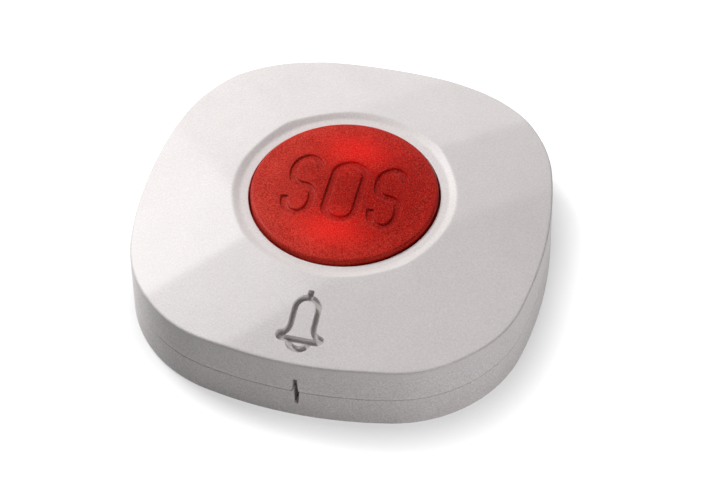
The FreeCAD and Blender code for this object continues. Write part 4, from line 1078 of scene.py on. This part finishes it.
def solder_joints(solder, finish):
    """Solder round every lead that comes through the board."""
    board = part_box("main_board")[0].z
    terminals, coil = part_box("switch_terminals")[1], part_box("antenna_coil")
    x, y = terminals.x - solder.terminal_thickness / 2, terminals.y - solder.terminal_width / 2
    points = [(side * x, end * y, board) for side in (-1, 1) for end in (-1, 1)]
    for lamp in ("led_upper", "led_lower"):
        middle = sum(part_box(lamp), Vector()) / 2
        points += [(middle.x + side * solder.lead_spacing / 2, middle.y, board) for side in (-1, 1)]
    points.append((coil[0].x + solder.wire_radius, coil[1].y - solder.wire_radius, board))
    shape = Shape("solder_joint", radius=solder.radius, height=solder.height)
    ball = shape.add("GeometryNodeMeshUVSphere", {}, {"Segments": 20, "Rings": 10, "Radius": shape.sizes["radius"]}, "Mesh")
    flat = shape.sizes["height"] / shape.sizes["radius"]
    return shape.finish("solder_joints", points, shape.move(ball, scale=shape.vector(1.0, 1.0, flat)), finish)


def moulded(name, shade, roughness):
    """Moulded plastic with a fine grain."""
    paint = Paint(name)
    grain = paint.noise(0.0003, 3.0)
    shade = np.array(shade)
    return paint.finish(
        Base_Color=paint.mix(grain, tuple(shade * 0.85), tuple(shade * 1.15)),
        Roughness=roughness - 0.05 + 0.1 * grain, Normal=paint.bump(grain, 0.00001))


def drawn(name, shade, roughness, stretch=(1, 9, 9)):
    """Metal with fine drawing marks along X."""
    paint = Paint(name)
    along = paint.add("ShaderNodeMapping", {}, {"Vector": paint.place, "Scale": stretch})
    marks = paint.noise(0.0012, 4.0, along)
    stain = paint.noise(0.003)
    shade = np.array(shade)
    return paint.finish(
        Base_Color=paint.mix(stain, tuple(shade * 0.88), tuple(shade)), Metallic=1.0,
        Roughness=roughness - 0.08 + 0.16 * marks, Normal=paint.bump(marks, 0.000004))


def turned(name, shade, roughness):
    """The cell's nickel can, with turning marks round its axis."""
    paint = Paint(name)
    middle = sum(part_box("coin_cell"), Vector()) / 2
    centred = paint.add("ShaderNodeVectorMath", {"operation": "SUBTRACT"}, {0: paint.place, 1: middle})
    x, y, z = paint.split(centred)
    ring = paint.add("ShaderNodeVectorMath", {"operation": "LENGTH"}, {0: paint.vector(x, y)}, "Value")
    marks = paint.noise(0.0002, 3.0, paint.vector(ring, z))
    scuffs = paint.noise(0.002, 5.0)
    shade = np.array(shade)
    return paint.finish(
        Base_Color=paint.mix(scuffs, tuple(shade * 0.9), tuple(shade)), Metallic=1.0,
        Roughness=roughness - 0.06 + 0.08 * marks + 0.06 * scuffs, Normal=paint.bump(marks, 0.000003))


def solder_mask(name, ground, track):
    """Green board: copper tracks under the mask, some along X and some along Y."""
    paint = Paint(name)
    x, y, z = paint.split(paint.place)
    fields = paint.add("ShaderNodeTexVoronoi", {"distance": "CHEBYCHEV"}, {
        "Vector": paint.place, "Scale": 1 / 0.009}, "Color")
    along_x, along_y = (
        paint.number("ABSOLUTE", paint.number("FRACT", across * (1 / 0.00127)) - 0.5) < 0.2 for across in (y, x))
    turned_field = fields * 1.0 < 0.5
    tracks = along_x * turned_field + along_y * (1 - turned_field)
    weave = paint.noise(0.0006, 2.0)
    return paint.finish(
        Base_Color=paint.mix(0.8 * tracks + 0.2 * weave, ground, track), Roughness=0.3 + 0.08 * weave,
        Normal=paint.bump(tracks, 0.00002))


def enamelled(name, shade, roughness):
    """Copper wire under clear enamel."""
    paint = Paint(name)
    tone = paint.noise(0.002)
    shade = np.array(shade)
    return paint.finish(
        Base_Color=paint.mix(tone, tuple(shade * 0.85), tuple(shade)), Metallic=1.0,
        Roughness=roughness + 0.08 * tone, Coat_Weight=0.6, Coat_Roughness=0.1)


def epoxy(name, shade, roughness):
    """Clear red epoxy of a lamp."""
    paint = Paint(name)
    flow = paint.noise(0.0015)
    shade = np.array(shade)
    return paint.finish(
        Base_Color=paint.mix(flow, tuple(shade * 0.9), tuple(shade)), Roughness=roughness + 0.03 * flow,
        Transmission_Weight=0.5, IOR=1.5)


FINISHES = {
    "spring_steel": (drawn, (0.62, 0.62, 0.64), 0.28, (6, 6, 1)),
    "board": (solder_mask, (0.012, 0.11, 0.035), (0.03, 0.22, 0.07)),
    "screw_steel": (drawn, (0.58, 0.58, 0.6), 0.32, (4, 4, 9)),
    "black_plastic": (moulded, (0.02, 0.02, 0.022), 0.45),
    "tinned": (drawn, (0.7, 0.7, 0.68), 0.36),
    "lamp": (epoxy, (0.55, 0.02, 0.015), 0.1),
    "cell": (turned, (0.68, 0.68, 0.67), 0.3),
    "contact": (drawn, (0.75, 0.66, 0.45), 0.3),
    "copper": (enamelled, (0.75, 0.35, 0.18), 0.22),
    "ceramic": (moulded, (0.5, 0.38, 0.26), 0.5),
}


def finish_for(slot):
    """The finish of one of the record's material slots, made when it is first asked for."""
    scene, name = bpy.context.scene, slot + "_finish"
    made = bpy.data.materials.get(name)
    if made:
        return made
    if slot == "case":
        return case_plastic(name, scene.button_case, scene.button_inside, scene.button_mark)
    if slot == "cap":
        return cap_plastic(name, scene.button_cap)
    make, *values = FINISHES[slot]
    return make(name, *values)


def settle(made, body, slot, *nodes):
    """Bind a finished piece to its body and hide the nodes that it stands for; its material slot is not used."""
    if nodes:
        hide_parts(*nodes)
    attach(made, body)


class BUTTON_OT_front_half(bpy.types.Operator):
    """Build the faceted front half of the case"""
    bl_idname = "button.front_half"
    bl_label = "Front Half"

    def execute(self, context):
        scene = context.scene
        made = front_half(scene.button_case, scene.button_inside, scene.button_mark, finish_for("case"))
        settle(made, "root", "case", "front_cover")
        return {"FINISHED"}


class BUTTON_OT_rear_half(bpy.types.Operator):
    """Build the back of the case"""
    bl_idname = "button.rear_half"
    bl_label = "Rear Half"

    def execute(self, context):
        scene = context.scene
        made = rear_half(scene.button_case, scene.button_inside, finish_for("case"))
        settle(made, "root", "case", "rear_cover")
        return {"FINISHED"}


class BUTTON_OT_thumb_cap(bpy.types.Operator):
    """Build the engraved thumb cap"""
    bl_idname = "button.thumb_cap"
    bl_label = "Thumb Cap"

    def execute(self, context):
        scene = context.scene
        made = thumb_cap(scene.button_cap, scene.button_inside, finish_for("cap"))
        settle(made, "button", "cap", "button_cap")
        return {"FINISHED"}


class BUTTON_OT_screws(bpy.types.Operator):
    """Build the board screws"""
    bl_idname = "button.screws"
    bl_label = "Board Screws"

    def execute(self, context):
        made = screw_set(context.scene.button_screws, finish_for("screw_steel"))
        settle(made, "root", "screw_steel", "board_screws")
        return {"FINISHED"}


class BUTTON_OT_spring(bpy.types.Operator):
    """Build the spring under the cap"""
    bl_idname = "button.spring"
    bl_label = "Cap Spring"

    def execute(self, context):
        made = cap_spring(context.scene.button_spring, finish_for("spring_steel"))
        settle(made, "root", "spring_steel", "return_spring")
        low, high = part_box("return_spring")
        press = next(joint for joint in frame["joints"] if joint["name"] == "button_press")
        keep = 1 - press["range_m"][1] / (high.z - low.z)
        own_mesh(made)
        return {"FINISHED"}


class BUTTON_OT_solder(bpy.types.Operator):
    """Build the solder joints under the board"""
    bl_idname = "button.solder"
    bl_label = "Solder Joints"

    def execute(self, context):
        made = solder_joints(context.scene.button_solder, finish_for("tinned"))
        settle(made, "root", "tinned")
        return {"FINISHED"}


class BUTTON_OT_finishes(bpy.types.Operator):
    """Give the remaining parts their finishes"""
    bl_idname = "button.finishes"
    bl_label = "Finishes"

    def execute(self, context):
        for part in frame["record"]["subparts"]:
            for slot in frame["nodes"][part["node"]].material_slots:
                slot.material = finish_for(part["material_slot"])
        return {"FINISHED"}


def soft_lamp(name, climb, turn, away, size, watts, tint=(1, 1, 1)):
    """A square lamp that faces the object, at angles in degrees above the horizon and from +X towards +Y."""
    light = bpy.data.lights.new(name, "AREA")
    light.size, light.energy, light.color = size, watts, tint
    lamp = bpy.data.objects.new(name, light)
    climb, turn = math.radians(climb), math.radians(turn)
    toward = Vector((math.cos(climb) * math.cos(turn), math.cos(climb) * math.sin(turn), math.sin(climb)))
    lamp.location = toward * away
    lamp.visible_camera = False
    lamp.rotation_euler = toward.to_track_quat("Z", "Y").to_euler()
    bpy.context.scene.collection.objects.link(lamp)


def floor_paint(name):
    """White floor that stays white in front of the camera, keeps the object's shadow and has a painted shadow round
    the foot of the case.
    """
    paint = Paint(name)
    drift = paint.noise(0.05)
    camera, shadow, glossy, through = paint.rays()
    x, y, _ = paint.split(paint.place)
    # Painted shadow: the floor's lift is halved at the foot of the case and reaches full strength 6 mm away.
    squareness = 2.67
    away = (paint.number("ABSOLUTE", x) ** squareness + paint.number("ABSOLUTE", y) ** squareness) ** (1 / squareness)
    past_painted_shadow = ((away - 0.0325) * (1 / 0.006)).clamp()
    diffuse = paint.add("ShaderNodeBsdfDiffuse", {}, {"Color": paint.mix(drift, (0.41, 0.41, 0.41), (0.43, 0.43, 0.43))})
    lift = paint.add("ShaderNodeEmission", {}, {"Color": (1, 1, 1, 1), "Strength": (camera + glossy + through).clamp() * (0.5 + 0.5 * past_painted_shadow)})
    both = paint.add("ShaderNodeAddShader", {}, {0: diffuse, 1: lift})
    behind = paint.add("ShaderNodeNewGeometry", output="Backfacing")
    clear = paint.add("ShaderNodeBsdfTransparent")
    surface = paint.add("ShaderNodeMixShader", {}, {0: (behind + shadow).clamp(), 1: both, 2: clear})
    return paint.close(surface)


def studio_air():
    """World that is white to look at and in reflections, and adds no light of its own."""
    world = bpy.data.worlds.new("studio")
    world.use_nodes = True
    air = Paint(world)
    camera, _, glossy, through = air.rays()
    seen = (camera + glossy + through).clamp()
    light = air.add("ShaderNodeBackground", {}, {"Color": (1, 1, 1, 1), "Strength": seen})
    air.add("ShaderNodeOutputWorld", {}, {"Surface": light}, output=None)
    return world


class BUTTON_OT_stage(bpy.types.Operator):
    """Set up the camera, the lamps and the floor"""
    bl_idname = "button.stage"
    bl_label = "Stage"

    def execute(self, context):
        stage, scene = context.scene.button_stage, context.scene
        side, up = math.cos(stage.azimuth), math.sin(stage.azimuth)
        climb, level = math.sin(stage.elevation), math.cos(stage.elevation)
        right = Vector((side, up, 0))
        above = Vector((-up * climb, side * climb, level))
        back = Vector((up * level, -side * level, climb))
        turned_right = right * math.cos(stage.roll) + above * math.sin(stage.roll)
        turned_up = above * math.cos(stage.roll) - right * math.sin(stage.roll)
        lens = bpy.data.cameras.new("camera")
        lens.lens, lens.sensor_width = stage.lens, 36
        lens.shift_x, lens.shift_y, lens.clip_start = stage.shift_x, stage.shift_y, 0.01
        camera = bpy.data.objects.new("camera", lens)
        camera.matrix_world = Matrix.Translation(back * stage.distance) @ Matrix(
            (turned_right, turned_up, back)).transposed().to_4x4()
        scene.collection.objects.link(camera)
        scene.camera = camera
        soft_lamp("key_lamp", 46, 151, 0.42, 0.15, 1.72)
        soft_lamp("back_lamp", 30, 90, 0.5, 0.16, 0.27)
        soft_lamp("side_lamp", 12, 335, 0.5, 0.16, 0.28, (1, 0.98, 1))
        soft_lamp("near_lamp", 17, 317, 0.16, 0.05, 0.043, (1, 0.98, 1))
        soft_lamp("under_lamp", -90, 0, 0.5, 0.4, 1.2, (1, 0.96, 1))
        floor = place("floor", bpy.data.meshes.new("floor"), floor_paint("floor_paint"))
        floor.data.from_pydata([(x, y, -0.00002) for x, y in rectangle(-2, 2, -2, 2)], [], [(0, 1, 2, 3)])
        scene.world = studio_air()
        scene.view_settings.view_transform = "Standard"
        return {"FINISHED"}


OPERATORS = [
    BUTTON_OT_front_half, BUTTON_OT_rear_half, BUTTON_OT_thumb_cap, BUTTON_OT_spring, BUTTON_OT_screws,
    BUTTON_OT_solder, BUTTON_OT_finishes, BUTTON_OT_stage,
]


class BUTTON_PT_panel(bpy.types.Panel):
    """Sizes and steps of the panic button"""
    bl_label = "Wireless Panic Button"
    bl_idname = "BUTTON_PT_panel"
    bl_space_type = "VIEW_3D"
    bl_region_type = "UI"
    bl_category = "Panic Button"

    def draw(self, context):
        for operator in OPERATORS:
            self.layout.operator(operator.bl_idname)
        for name, group in SETTINGS.items():
            settings = getattr(context.scene, name)
            box = self.layout.box()
            box.label(text=group.__doc__)
            for key in group.__annotations__:
                box.prop(settings, key)


def register():
    """Register the settings, the operators and the panel."""
    for name, group in SETTINGS.items():
        bpy.utils.register_class(group)
        setattr(bpy.types.Scene, name, bpy.props.PointerProperty(type=group))
    for made in (*OPERATORS, BUTTON_PT_panel):
        bpy.utils.register_class(made)


def unregister():
    """Take back what register did."""
    for made in (BUTTON_PT_panel, *reversed(OPERATORS)):
        bpy.utils.unregister_class(made)
    for name, group in SETTINGS.items():
        delattr(bpy.types.Scene, name)
        bpy.utils.unregister_class(group)


def main():
    """Build everything in order."""
    register()
    for operator in OPERATORS:
        group, step = operator.bl_idname.split(".")
        getattr(getattr(bpy.ops, group), step)()


if __name__ == "__main__":
    main()
